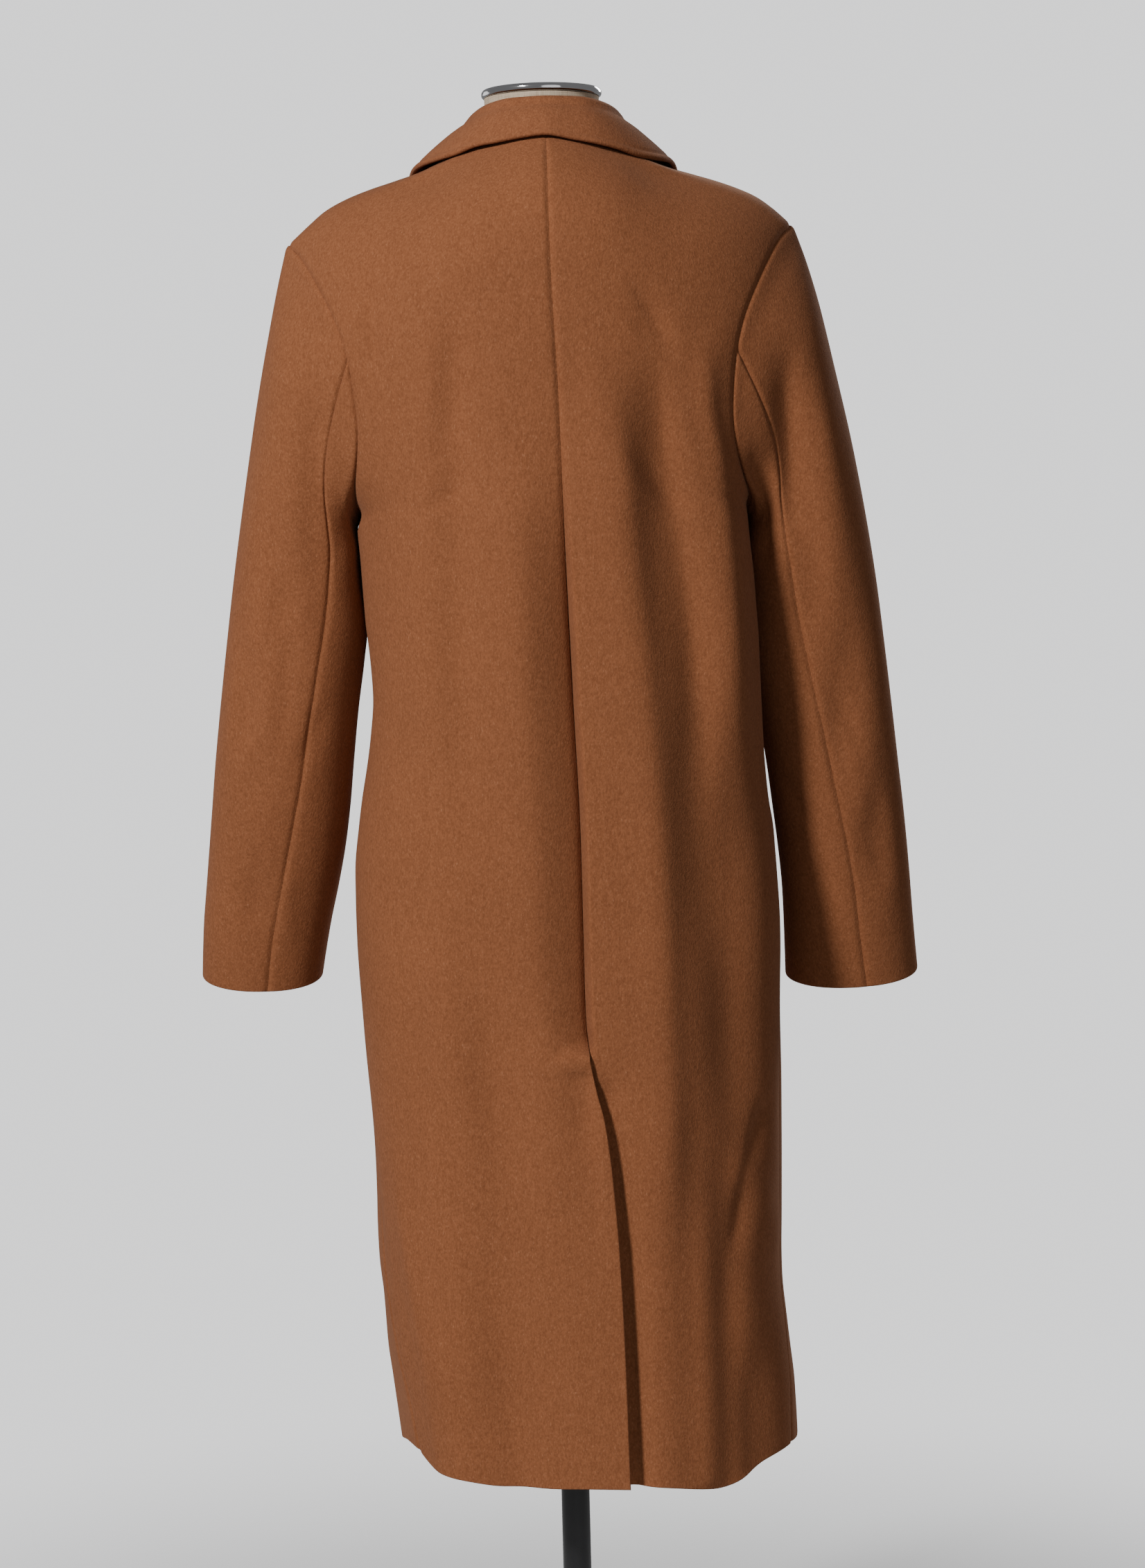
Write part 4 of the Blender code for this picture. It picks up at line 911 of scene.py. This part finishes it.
# %% [markdown]
# ## Backs
# The back is cut in two halves, sewn down the middle as far as the vent. Below that the left
# half's edge is a free flap over the right half's underlap. A short row of stitches runs
# across the top of the vent and holds the underlap: it pulls a fine groove into the left
# half, with a small pit at its far end. The left half sinks beside the seam, in a trough
# whose right wall is the seam itself, and that trough ends at the stitches. Below them the
# right half dips steeply where it goes under the flap.

# %% Backs
STITCH_LEVEL = 702.0
STITCH_LENGTH = 25.0   # from the centre seam to the pit
STITCH_TILT = -2.4     # the pit lies this much lower
STITCH_GROOVE = 1.0
STITCH_PIT = 1.6
STITCH_PUFF = 0.6      # the cloth swells a little under the groove
SEAM_TROUGH = 15.0
TROUGH_REACH = 38.0    # width of the trough on the left half,
TROUGH_STEP = 6.0      # and on the right half
TROUGH_TOP = 1245.0
TROUGH_GROWTH = 220.0
SIDE_FULLNESS = 7.4
FULLNESS_TOP = 1159.0
FULLNESS_LOW = 990.0
FULLNESS_REACH = 80.0
UNDERLAP_CREASES = crease_table(
    "back",
    (-7.0, 16, 8, 26, 30, (-31, 686), (-40, 640), (-46, 590), (-52, 530), (-54, 450), (-55, 335)),
)


def seam_trough(points, distance, reach):
    z = points[..., 2] / MM
    wall = np.clip(1 - distance["first"] / reach, 0, 1) ** 1.5
    growth = smooth((TROUGH_TOP - z) / TROUGH_GROWTH)
    return -SEAM_TROUGH * wall * growth * smooth((z - STITCH_LEVEL + 6) / 14)


def side_fullness(points, distance):
    """Under the left arm the cloth stands out until it nearly meets the sleeve."""
    z = points[..., 2] / MM
    level = smooth((FULLNESS_TOP - z) / 15) * smooth((z - FULLNESS_LOW) / 80)
    return SIDE_FULLNESS * level * smooth(1 - distance["last"] / FULLNESS_REACH)


def vent_stitch(points, distance):
    z = points[..., 2] / MM
    back = points[..., 1] > 0
    across = distance["first"]
    beyond = across - STITCH_LENGTH
    rise = z - (STITCH_LEVEL + STITCH_TILT * across / STITCH_LENGTH)
    groove = -STITCH_GROOVE * np.exp(-(rise / 1.3) ** 2) * smooth(-beyond / 3)
    pit = -STITCH_PIT * np.exp(-(beyond / 5.5) ** 2 - ((rise - 2) / 4.2) ** 2)
    puff = STITCH_PUFF * np.exp(-((rise + 7) / 6) ** 2) * smooth((6 - beyond) / 10)
    return (groove + pit + puff) * back


def left_back(points, distance):
    return (seam_trough(points, distance, TROUGH_REACH) + vent_stitch(points, distance)
            + side_fullness(points, distance))


def right_back(points, distance):
    return seam_trough(points, distance, TROUGH_STEP)


def calm_body(distance, z):
    """Creases die away towards the armhole and the neck, where the seams hold the cloth."""
    armhole = 1 - smooth((z - UNDERARM + 35) / 40) * (1 - smooth(distance["last"] / 34))
    return armhole * smooth(distance["high"] / 60)


for node, extra, special in (("back_left", (), left_back),
                             ("back_right", UNDERLAP_CREASES, right_back)):
    build_cloth(node, "wool_cloth", WOOL, creases=BODY_CREASES + extra, calm=calm_body,
                free={"low": everywhere, "first": below(VENT_TOP)},
                sewn={"first": above(VENT_TOP + 3), "last": everywhere, "high": everywhere},
                levels=(STITCH_LEVEL,), corner_level=VENT_TOP, special=special)

# %% [markdown]
# ## Fronts
# Each front runs past the middle, so that the left one laps over the right one and buttons.
# Their free edges carry a facing inside, so they are rounded and have the pressed groove.
# The right front's low corner is raised, to end at the hem of the back that it is sewn to.

# %% Fronts
CORNER_LIFT = 7.5
for node, special, lift in (("front_left", side_fullness, 0.0),
                            ("front_right", None, CORNER_LIFT)):
    build_cloth(node, "wool_cloth", WOOL, creases=BODY_CREASES, calm=calm_body,
                free=whole("low", "first"), sewn=whole("last", "high"), rolled=("first",),
                special=special, lift=lift)

# %% [markdown]
# ## Sleeves
# A tailored sleeve has a wide top piece and a narrow under piece, sewn down the front and
# the back of the arm. The cuff is a plain turned hem. The crown is held by the armhole seam,
# so the creases stay clear of it.

# %% Sleeves
UNDERARM_SAG = 4.0
SAG_LEVEL = 1130.0
SAG_HEIGHT = 20.0
SAG_INSIDE = 186.0     # only the cloth nearer to the body than this sags


def calm_sleeve(distance, z):
    return smooth(distance["high"] / 40)


def underarm_sag(points, distance):
    """Just under the armhole the under piece sags back against the coat's side."""
    x, z = abs(points[..., 0]) / MM, points[..., 2] / MM
    level = np.exp(-((z - SAG_LEVEL) / SAG_HEIGHT) ** 2)
    return UNDERARM_SAG * level * smooth((SAG_INSIDE - x) / 12) * smooth(distance["high"] / 7)


for node in ("sleeve_top_left", "sleeve_top_right", "sleeve_under_left", "sleeve_under_right"):
    build_cloth(node, "wool_cloth", WOOL, creases=SLEEVE_CREASES, calm=calm_sleeve,
                free=whole("low"), sewn=whole("first", "last", "high"), special=underarm_sag)

# %% [markdown]
# ## Collar and lapels
# The collar stands up from the neck seam and falls over it. The lapel is the front folded
# back, with its facing showing. Both were sewn wrong side out and turned, so their edges are
# thick and round, with the groove of the pressed edge beside them.

# %% Collar and lapels
ALL_ROUND = whole("low", "high", "last", "first")
build_cloth("collar", "wool_collar", LIT_COLLAR_WOOL, free=whole("low", "high", "last"),
            sewn=whole("first"), rolled=("last",))
for node in ("lapel_left", "lapel_right"):
    build_cloth(node, "wool_collar", LIT_COLLAR_WOOL, sewn={}, rolled=("last",), free=ALL_ROUND)

# %% [markdown]
# ## Pocket welts
# A welt is a folded strip that stands over a slanted pocket. It is sewn down round its ends
# and along its lower edge.

# %% Welts
for node in ("pocket_welt_left", "pocket_welt_right"):
    build_cloth(node, "wool_cloth", WOOL, creases=BODY_CREASES, sewn={}, rolled=("first", "last"),
                free=ALL_ROUND)

# %% [markdown]
# ## Linen, chrome, enamel, horn
# The dress form is covered in natural linen in plain weave: each thread goes over one and under the
# next, at a pitch of 0.9 mm, and flax has thick places, called slubs. One group draws the threads
# from two counts, round and up, and paints the low places between the threads in a dark gap tone,
# which is painted shade. The metal and horn finishes share a group for the marks of handling: faint
# smears and a slow change of gloss.

# %% Weave and handling groups
NECK_THREADS = 364     # threads round the neck, and round the torso
TORSO_THREADS = 976
THREAD_PITCH = 0.0009
NECK_FOOT = 1.4486
SLUBS = 900.0
ALONG_WARP = (1.0, 1.0, 0.06)
ALONG_WEFT = (0.06, 0.06, 1.0)


def plain_weave_group():
    group, given, result = new_group(
        "plain_weave",
        (("Round", "NodeSocketFloat"), ("Up", "NodeSocketFloat"),
         ("Thread", "NodeSocketColor"), ("Gap_shade", "NodeSocketColor")),
        (("Colour", "NodeSocketColor"), ("Height", "NodeSocketFloat")))
    turns = []
    for title in ("Round", "Up"):
        angle = math_node(group, "MULTIPLY", given.outputs[title], math.pi)
        turns.append(add_node(group, "ShaderNodeMath", operation="SINE"))
        link(group, angle, turns[-1].inputs[0])
    around, upward = (turn.outputs[0] for turn in turns)
    warp = math_node(group, "POWER", math_node(group, "ABSOLUTE", around, 0.0), 0.7)
    weft = math_node(group, "POWER", math_node(group, "ABSOLUTE", upward, 0.0), 0.7)
    over = range_of(group, math_node(group, "MULTIPLY", around, upward), -0.25, 0.25)
    first = math_node(group, "MULTIPLY", warp, over)
    second = math_node(group, "MULTIPLY", weft, math_node(group, "SUBTRACT", 1.0, over))
    place = add_node(group, "ShaderNodeTexCoord").outputs["Object"]
    slubs = noise(group, stretch(group, place, ALONG_WARP), SLUBS, 1.0)
    cross_slubs = noise(group, stretch(group, place, ALONG_WEFT), SLUBS, 1.0)
    thick = math_node(group, "ADD", slubs, cross_slubs)
    threads = math_node(group, "ADD", first, second)
    height = math_node(group, "ADD", threads, range_of(group, thick, 0.8, 1.3, -0.1, 0.35))
    # The low places between the threads get the dark gap tone: painted shade.
    tone = mix_colours(group, range_of(group, height, 0.25, 1.0), given.outputs["Gap_shade"],
                       given.outputs["Thread"])
    link(group, tone, result.inputs["Colour"])
    link(group, height, result.inputs["Height"])
    return group


def handling_group():
    group, given, result = new_group(
        "handling",
        (("Low", "NodeSocketFloat"), ("High", "NodeSocketFloat"), ("Scale", "NodeSocketFloat")),
        (("Roughness", "NodeSocketFloat"), ("Mask", "NodeSocketFloat")))
    place = add_node(group, "ShaderNodeTexCoord").outputs["Object"]
    smears = add_node(group, "ShaderNodeTexNoise", {"Detail": 3.0, "Distortion": 0.8})
    link(group, place, smears.inputs["Vector"])
    link(group, given.outputs["Scale"], smears.inputs["Scale"])
    mask = range_of(group, smears.outputs["Fac"], 0.35, 0.68)
    spread = math_node(group, "SUBTRACT", given.outputs["High"], given.outputs["Low"])
    rough = math_node(group, "ADD", given.outputs["Low"],
                      math_node(group, "MULTIPLY", mask, spread))
    link(group, rough, result.inputs["Roughness"])
    link(group, mask, result.inputs["Mask"])
    return group


PLAIN_WEAVE = plain_weave_group()
HANDLING = handling_group()


# %% Linen material
def linen_material():
    material, tree, shader = new_material("natural_linen_weave")
    place = add_node(tree, "ShaderNodeTexCoord").outputs["Object"]
    parts = add_node(tree, "ShaderNodeSeparateXYZ")
    link(tree, place, parts.inputs[0])
    angle = math_node(tree, "ARCTAN2", parts.outputs["X"], parts.outputs["Y"])
    turns = math_node(tree, "MULTIPLY", angle, 0.5 / math.pi)
    on_neck = math_node(tree, "GREATER_THAN", parts.outputs["Z"], NECK_FOOT)
    more = math_node(tree, "MULTIPLY", on_neck, NECK_THREADS - TORSO_THREADS)
    threads = math_node(tree, "ADD", more, TORSO_THREADS)
    weave = add_node(tree, "ShaderNodeGroup", node_tree=PLAIN_WEAVE)
    # The gap tone is painted shade between the threads.
    set_inputs(weave, {"Thread": colour(0.62, 0.50, 0.37), "Gap_shade": colour(0.30, 0.215, 0.145)})
    up = math_node(tree, "MULTIPLY", parts.outputs["Z"], 1 / THREAD_PITCH)
    link(tree, math_node(tree, "MULTIPLY", turns, threads), weave.inputs["Round"])
    link(tree, up, weave.inputs["Up"])
    link(tree, weave.outputs["Colour"], shader.inputs["Base Color"])
    set_inputs(shader, {"Roughness": 0.9, "Specular IOR Level": 0.2})
    bump(tree, shader, weave.outputs["Height"], 0.6, 0.0003)
    return material


LINEN = linen_material()


# %% Chrome, enamel, horn and thread
GRAIN_LINES = 420.0
FINE_MARKS = 380.0


def hard_material(name, tone, second_tone, low, high, scale, metallic=0.0, grain=None):
    """A hard finish: two near tones and a gloss that handling has made uneven."""
    material, tree, shader = new_material(name)
    marks = add_node(tree, "ShaderNodeGroup", {"Low": low, "High": high, "Scale": scale},
                     node_tree=HANDLING)
    link(tree, marks.outputs["Roughness"], shader.inputs["Roughness"])
    mask = marks.outputs["Mask"]
    place = add_node(tree, "ShaderNodeTexCoord").outputs["Object"]
    if grain:
        mask = noise(tree, stretch(tree, place, grain), GRAIN_LINES, 3.0, 0.6)
    link(tree, mix_colours(tree, mask, tone, second_tone), shader.inputs["Base Color"])
    set_inputs(shader, {"Metallic": metallic})
    bump(tree, shader, noise(tree, place, FINE_MARKS, 2.0), 0.12, 0.0001)
    return material


CHROME = hard_material("polished_chrome", colour(0.50, 0.50, 0.51), colour(0.46, 0.46, 0.47),
                       0.07, 0.14, 38.0, metallic=1.0)
ENAMEL = hard_material("black_stove_enamel", colour(0.012, 0.012, 0.013),
                       colour(0.020, 0.020, 0.021), 0.26, 0.42, 22.0)
HORN = hard_material("dark_horn_polished", colour(0.050, 0.024, 0.012),
                     colour(0.118, 0.062, 0.030), 0.24, 0.36, 90.0, grain=(1.0, 1.0, 0.35))
THREAD = hard_material("button_thread", colour(0.085, 0.034, 0.016), colour(0.15, 0.065, 0.03),
                       0.75, 0.9, 600.0, grain=(1.0, 1.0, 1.0))
print("linen, chrome, enamel, horn and thread made")

# %% [markdown]
# ## Dress form
# The form is a padded torso without limbs, under tight linen. Its solid has 28 points to a
# ring. Closed cubic curves through each ring, and then from ring to ring, give the same form
# with four times as many, so that its shoulders and neck are round.

# %% Rings of the form
RING_POINTS = 28
TIMES_FINER = 4
RING_STEP = 8.0        # millimetres between drawn rings


def ring_rows(node, width):
    """The rings of a node that is built of rings, low to high, each ordered by angle."""
    points, _ = read_triangles(node)
    levels = np.unique(np.round(points[:, 2], 5))
    rows = []
    for level in levels:
        ring = points[abs(points[:, 2] - level) < 2e-5]
        ring = ring[np.argsort(np.arctan2(ring[:, 1], ring[:, 0]))]
        if len(ring) != width:
            raise ValueError(f"{node}: {len(ring)} points at {level}")
        rows.append(ring)
    return np.array(rows)


def round_rings(rows, times):
    """Each closed ring drawn finer."""
    width = rows.shape[1]
    wrapped = np.concatenate((rows[:, -3:], rows, rows[:, :4]), axis=1).swapaxes(0, 1)
    knots = np.arange(-3.0, width + 4.0)
    places = np.arange(width * times) / times
    return cubic_along(wrapped, knots, places).swapaxes(0, 1)


def rings_mesh(name, rows):
    """A closed mesh over rings, with a fan at each end."""
    count, width = rows.shape[:2]
    points = list(map(tuple, rows.reshape(-1, 3)))
    low, high = len(points), len(points) + 1
    points += [tuple(rows[0].mean(axis=0)), tuple(rows[-1].mean(axis=0))]
    faces = []
    for k in range(width):
        j = (k + 1) % width
        faces += [(r * width + k, r * width + j, r * width + width + j, r * width + width + k)
                  for r in range(count - 1)]
        faces.append((low, j, k))
        faces.append((high, (count - 1) * width + k, (count - 1) * width + j))
    mesh = make_mesh(name, points, faces)
    mesh.shade_smooth()
    mesh.set_sharp_from_angle(angle=math.radians(40))
    return mesh


def place_piece(mesh, material, node=None):
    mesh.materials.append(material)
    made = add_object(mesh.name, mesh)
    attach(made, "root")
    if node:
        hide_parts(node)
    print(made.name, "has", sum(len(p.vertices) - 2 for p in mesh.polygons), "triangles")


# %% The form
def build_form():
    """The torso, with the edge of its underside a little rounded."""
    rows = round_rings(ring_rows("form_torso", RING_POINTS), TIMES_FINER)
    knots = mean_knots(rows)
    steps = [knots[0]]
    for low, high in zip(knots, knots[1:]):
        count = max(1, int(round((high - low) / RING_STEP)))
        steps += [low + (high - low) * (k + 1) / count for k in range(count)]
    rows = cubic_along(rows, knots, np.array(steps))
    inset = rows[0] * (0.975, 0.975, 1.0)
    rows = np.concatenate((inset[None], rows[0][None] + (0, 0, 0.0018), rows[1:]))
    place_piece(rings_mesh("form_cover", rows), LINEN, "form_torso")


build_form()

# %% [markdown]
# ## Cap, pole and base
# These are turned parts: an outline spun round the pole's line. The neck cap is a chromed disc with
# a rolled lip. The base is a heavy disc with a soft edge and a socket for the pole.

# %% Turned parts
def turned_mesh(name, outline, segments):
    """An outline of radius and height in millimetres, spun round the upright axis."""
    turns = np.arange(segments) * 2 * math.pi / segments
    circle = np.stack((np.cos(turns), np.sin(turns)), axis=1)
    rows = np.array([np.column_stack((circle * radius * MM, np.full(segments, height * MM)))
                     for radius, height in outline])
    return rings_mesh(name, rows)


def rounded(outline, reach, steps=5):
    """Corners of an outline cut to arcs that start this far from each."""
    points = [np.array(p, float) for p in outline]
    made = [tuple(points[0])]
    for before, corner, after in zip(points, points[1:], points[2:]):
        to_before, to_after = before - corner, after - corner
        room = min(reach, np.linalg.norm(to_before) * 0.45, np.linalg.norm(to_after) * 0.45)
        start = corner + to_before / np.linalg.norm(to_before) * room
        end = corner + to_after / np.linalg.norm(to_after) * room
        for k in range(steps + 1):
            t = k / steps
            made.append(tuple((1 - t) ** 2 * start + 2 * t * (1 - t) * corner + t * t * end))
    made.append(tuple(points[-1]))
    return made


CAP_OUTLINE = ((46.0, 1513.8), (50.6, 1513.9), (52.0, 1515.6), (52.0, 1518.4), (50.6, 1520.6),
               (48.4, 1520.9), (47.2, 1520.3), (44.0, 1520.2), (26.0, 1521.5), (6.0, 1522.0),
               (1.0, 1522.0))
BASE_OUTLINE = ((150.0, 0.0), (163.0, 0.0), (165.0, 2.2), (165.0, 6.0), (162.0, 8.5),
                (150.0, 9.0), (60.0, 12.0), (26.0, 14.0), (20.0, 18.0), (18.0, 30.2),
                (17.2, 31.0), (12.9, 31.0))
POLE_OUTLINE = ((11.5, 31.3), (12.5, 32.3), (12.5, 60.0), (12.5, 770.0), (12.5, 798.7),
                (11.5, 799.7))
for name, outline, reach, segments, material, slot, node in (
        ("neck_cap_turned", CAP_OUTLINE, 0.9, 128, CHROME, "bright_chrome", "neck_cap"),
        ("base_turned", BASE_OUTLINE, 1.2, 128, ENAMEL, "black_enamel", "stand_base"),
        ("pole_turned", POLE_OUTLINE, 0.6, 48, ENAMEL, "black_enamel", "stand_pole")):
    place_piece(turned_mesh(name, rounded(outline, reach), segments), material, node)

# %% [markdown]
# ## Buttons
# Each button is turned from dark horn, with a raised rim and a dished middle, and drilled
# with four holes. The holes are cut right through with a Boolean modifier, whose result is
# kept as plain mesh. The thread runs in two bars, in slight arches from hole to hole.

# %% Button body
BUTTON_OUTLINE = ((0.4, 0.0), (8.0, 0.0), (10.6, 0.2), (13.6, 1.4), (14.0, 2.2), (14.0, 3.2),
                  (13.3, 4.2), (12.2, 4.5), (11.2, 4.1), (10.4, 3.3), (8.6, 3.1), (4.0, 3.0),
                  (0.4, 3.0))
BUTTON_SEGMENTS = 72
HOLE_AT = 2.6
HOLE_RADIUS = 1.05
HOLE_SEGMENTS = 24
DRILL_ENDS = (-1.0, 6.0)


def button_frame(node):
    """Centre of the button's back, and its side, up and outward directions."""
    points, _ = read_triangles(node)
    centre = points.mean(axis=0)
    _, axes = np.linalg.eigh(np.cov((points - centre).T))
    out = axes[:, 0] if axes[1, 0] < 0 else -axes[:, 0]
    up = np.array((0.0, 0.0, 1.0)) - out[2] * out
    up /= np.linalg.norm(up)
    side = np.cross(up, out)
    rise = (points - centre) @ out
    across = points - centre - rise[:, None] * out
    middle = centre + (across.max(axis=0) + across.min(axis=0)) / 2
    return middle + out * rise.min(), side, up, out


def drilled_button(name):
    body = turned_mesh(name, rounded(BUTTON_OUTLINE, 0.5, 3), BUTTON_SEGMENTS)
    drill = turned_mesh("drill", [(HOLE_RADIUS, height) for height in DRILL_ENDS], HOLE_SEGMENTS)
    made = add_object(name, body)
    drills = []
    for x, y in ((1, 1), (-1, 1), (-1, -1), (1, -1)):
        cutter = add_object("drill", drill)
        cutter.location = (x * HOLE_AT * MM, y * HOLE_AT * MM, 0.0)
        drills.append(cutter)
        cut = made.modifiers.new("hole", "BOOLEAN")
        cut.operation = "DIFFERENCE"
        cut.solver = "EXACT"
        cut.object = cutter
    bpy.context.view_layer.update()
    graph = bpy.context.evaluated_depsgraph_get()
    shaped = bpy.data.meshes.new_from_object(made.evaluated_get(graph))
    for old in drills + [made]:
        bpy.data.objects.remove(old)
    shaped.name = name
    shaped.shade_smooth()
    shaped.set_sharp_from_angle(angle=math.radians(38))
    return shaped


# %% Thread and placing
THREAD_LOW = 0.5       # a strand starts this far above the button's back,
THREAD_HIGH = 3.7      # and passes over its face at this height
THREAD_RADIUS = 0.26
STRANDS = (-0.42, 0.0, 0.42)


def thread_points(start, end, strand):
    """A strand that comes up through one hole and goes down through the other."""
    start, end = np.array((*start, 0.0)), np.array((*end, 0.0))
    side = np.cross((0, 0, 1.0), end - start)
    side = side / np.linalg.norm(side) * strand
    spots = []
    for t in np.linspace(0.0, 1.0, 13):
        height = THREAD_LOW + (THREAD_HIGH - THREAD_LOW) * (1 - abs(2 * t - 1) ** 5)
        spots.append(start + (end - start) * t + side + (0, 0, height))
    return np.array(spots)


def tube_rows(spots, radius, sides=8):
    rows = []
    for k, spot in enumerate(spots):
        ahead = spots[min(k + 1, len(spots) - 1)] - spots[max(k - 1, 0)]
        ahead = ahead / np.linalg.norm(ahead)
        side = np.cross(ahead, (0.0, 0.0, 1.0))
        length = np.linalg.norm(side)
        side = side / length if length >= 0.1 else np.array((1.0, 0.0, 0.0))
        other = np.cross(side, ahead)
        rows.append([spot + radius * (math.cos(a) * side + math.sin(a) * other)
                     for a in np.arange(sides) * 2 * math.pi / sides])
    return np.array(rows)


def join_meshes(name, meshes):
    points, faces = [], []
    for mesh in meshes:
        start = len(points)
        points += [tuple(v.co) for v in mesh.vertices]
        faces += [tuple(start + v for v in p.vertices) for p in mesh.polygons]
    joined = make_mesh(name, points, faces)
    joined.shade_smooth()
    return joined


def seat_mesh(mesh, base, side, up, out):
    """A mesh made round the upright axis, moved on to the cloth."""
    matrix = Matrix((side, up, out)).transposed().to_4x4()
    mesh.transform(Matrix.Translation(Vector(base)) @ matrix)


for node in ("button_1", "button_2", "button_3"):
    spot = button_frame(node)
    body = drilled_button(node + "_horn")
    seat_mesh(body, *spot)
    place_piece(body, HORN, node)
    strands = []
    for x in (-HOLE_AT, HOLE_AT):
        for strand in STRANDS:
            path = thread_points((x, -HOLE_AT), (x, HOLE_AT), strand) * MM
            strands.append(rings_mesh("strand", tube_rows(path, THREAD_RADIUS * MM)))
    threads = join_meshes(node + "_thread", strands)
    seat_mesh(threads, *spot)
    place_piece(threads, THREAD)

# %% [markdown]
# ## Cut of the cloth
# Each cloth piece was a flat shape before it was sewn. Its width and length are those of the
# smallest rectangle of cloth that the shown part fits in, and its area is less, because
# armholes, necklines and side seams are cut away from that rectangle. The panels hang from
# the shoulders of the form, the sleeves hang from the panels, and the collar and the lapels
# are folded over what they lie on.

# %% Sheets
Sheet = namedtuple("Sheet", "node width length area held on")
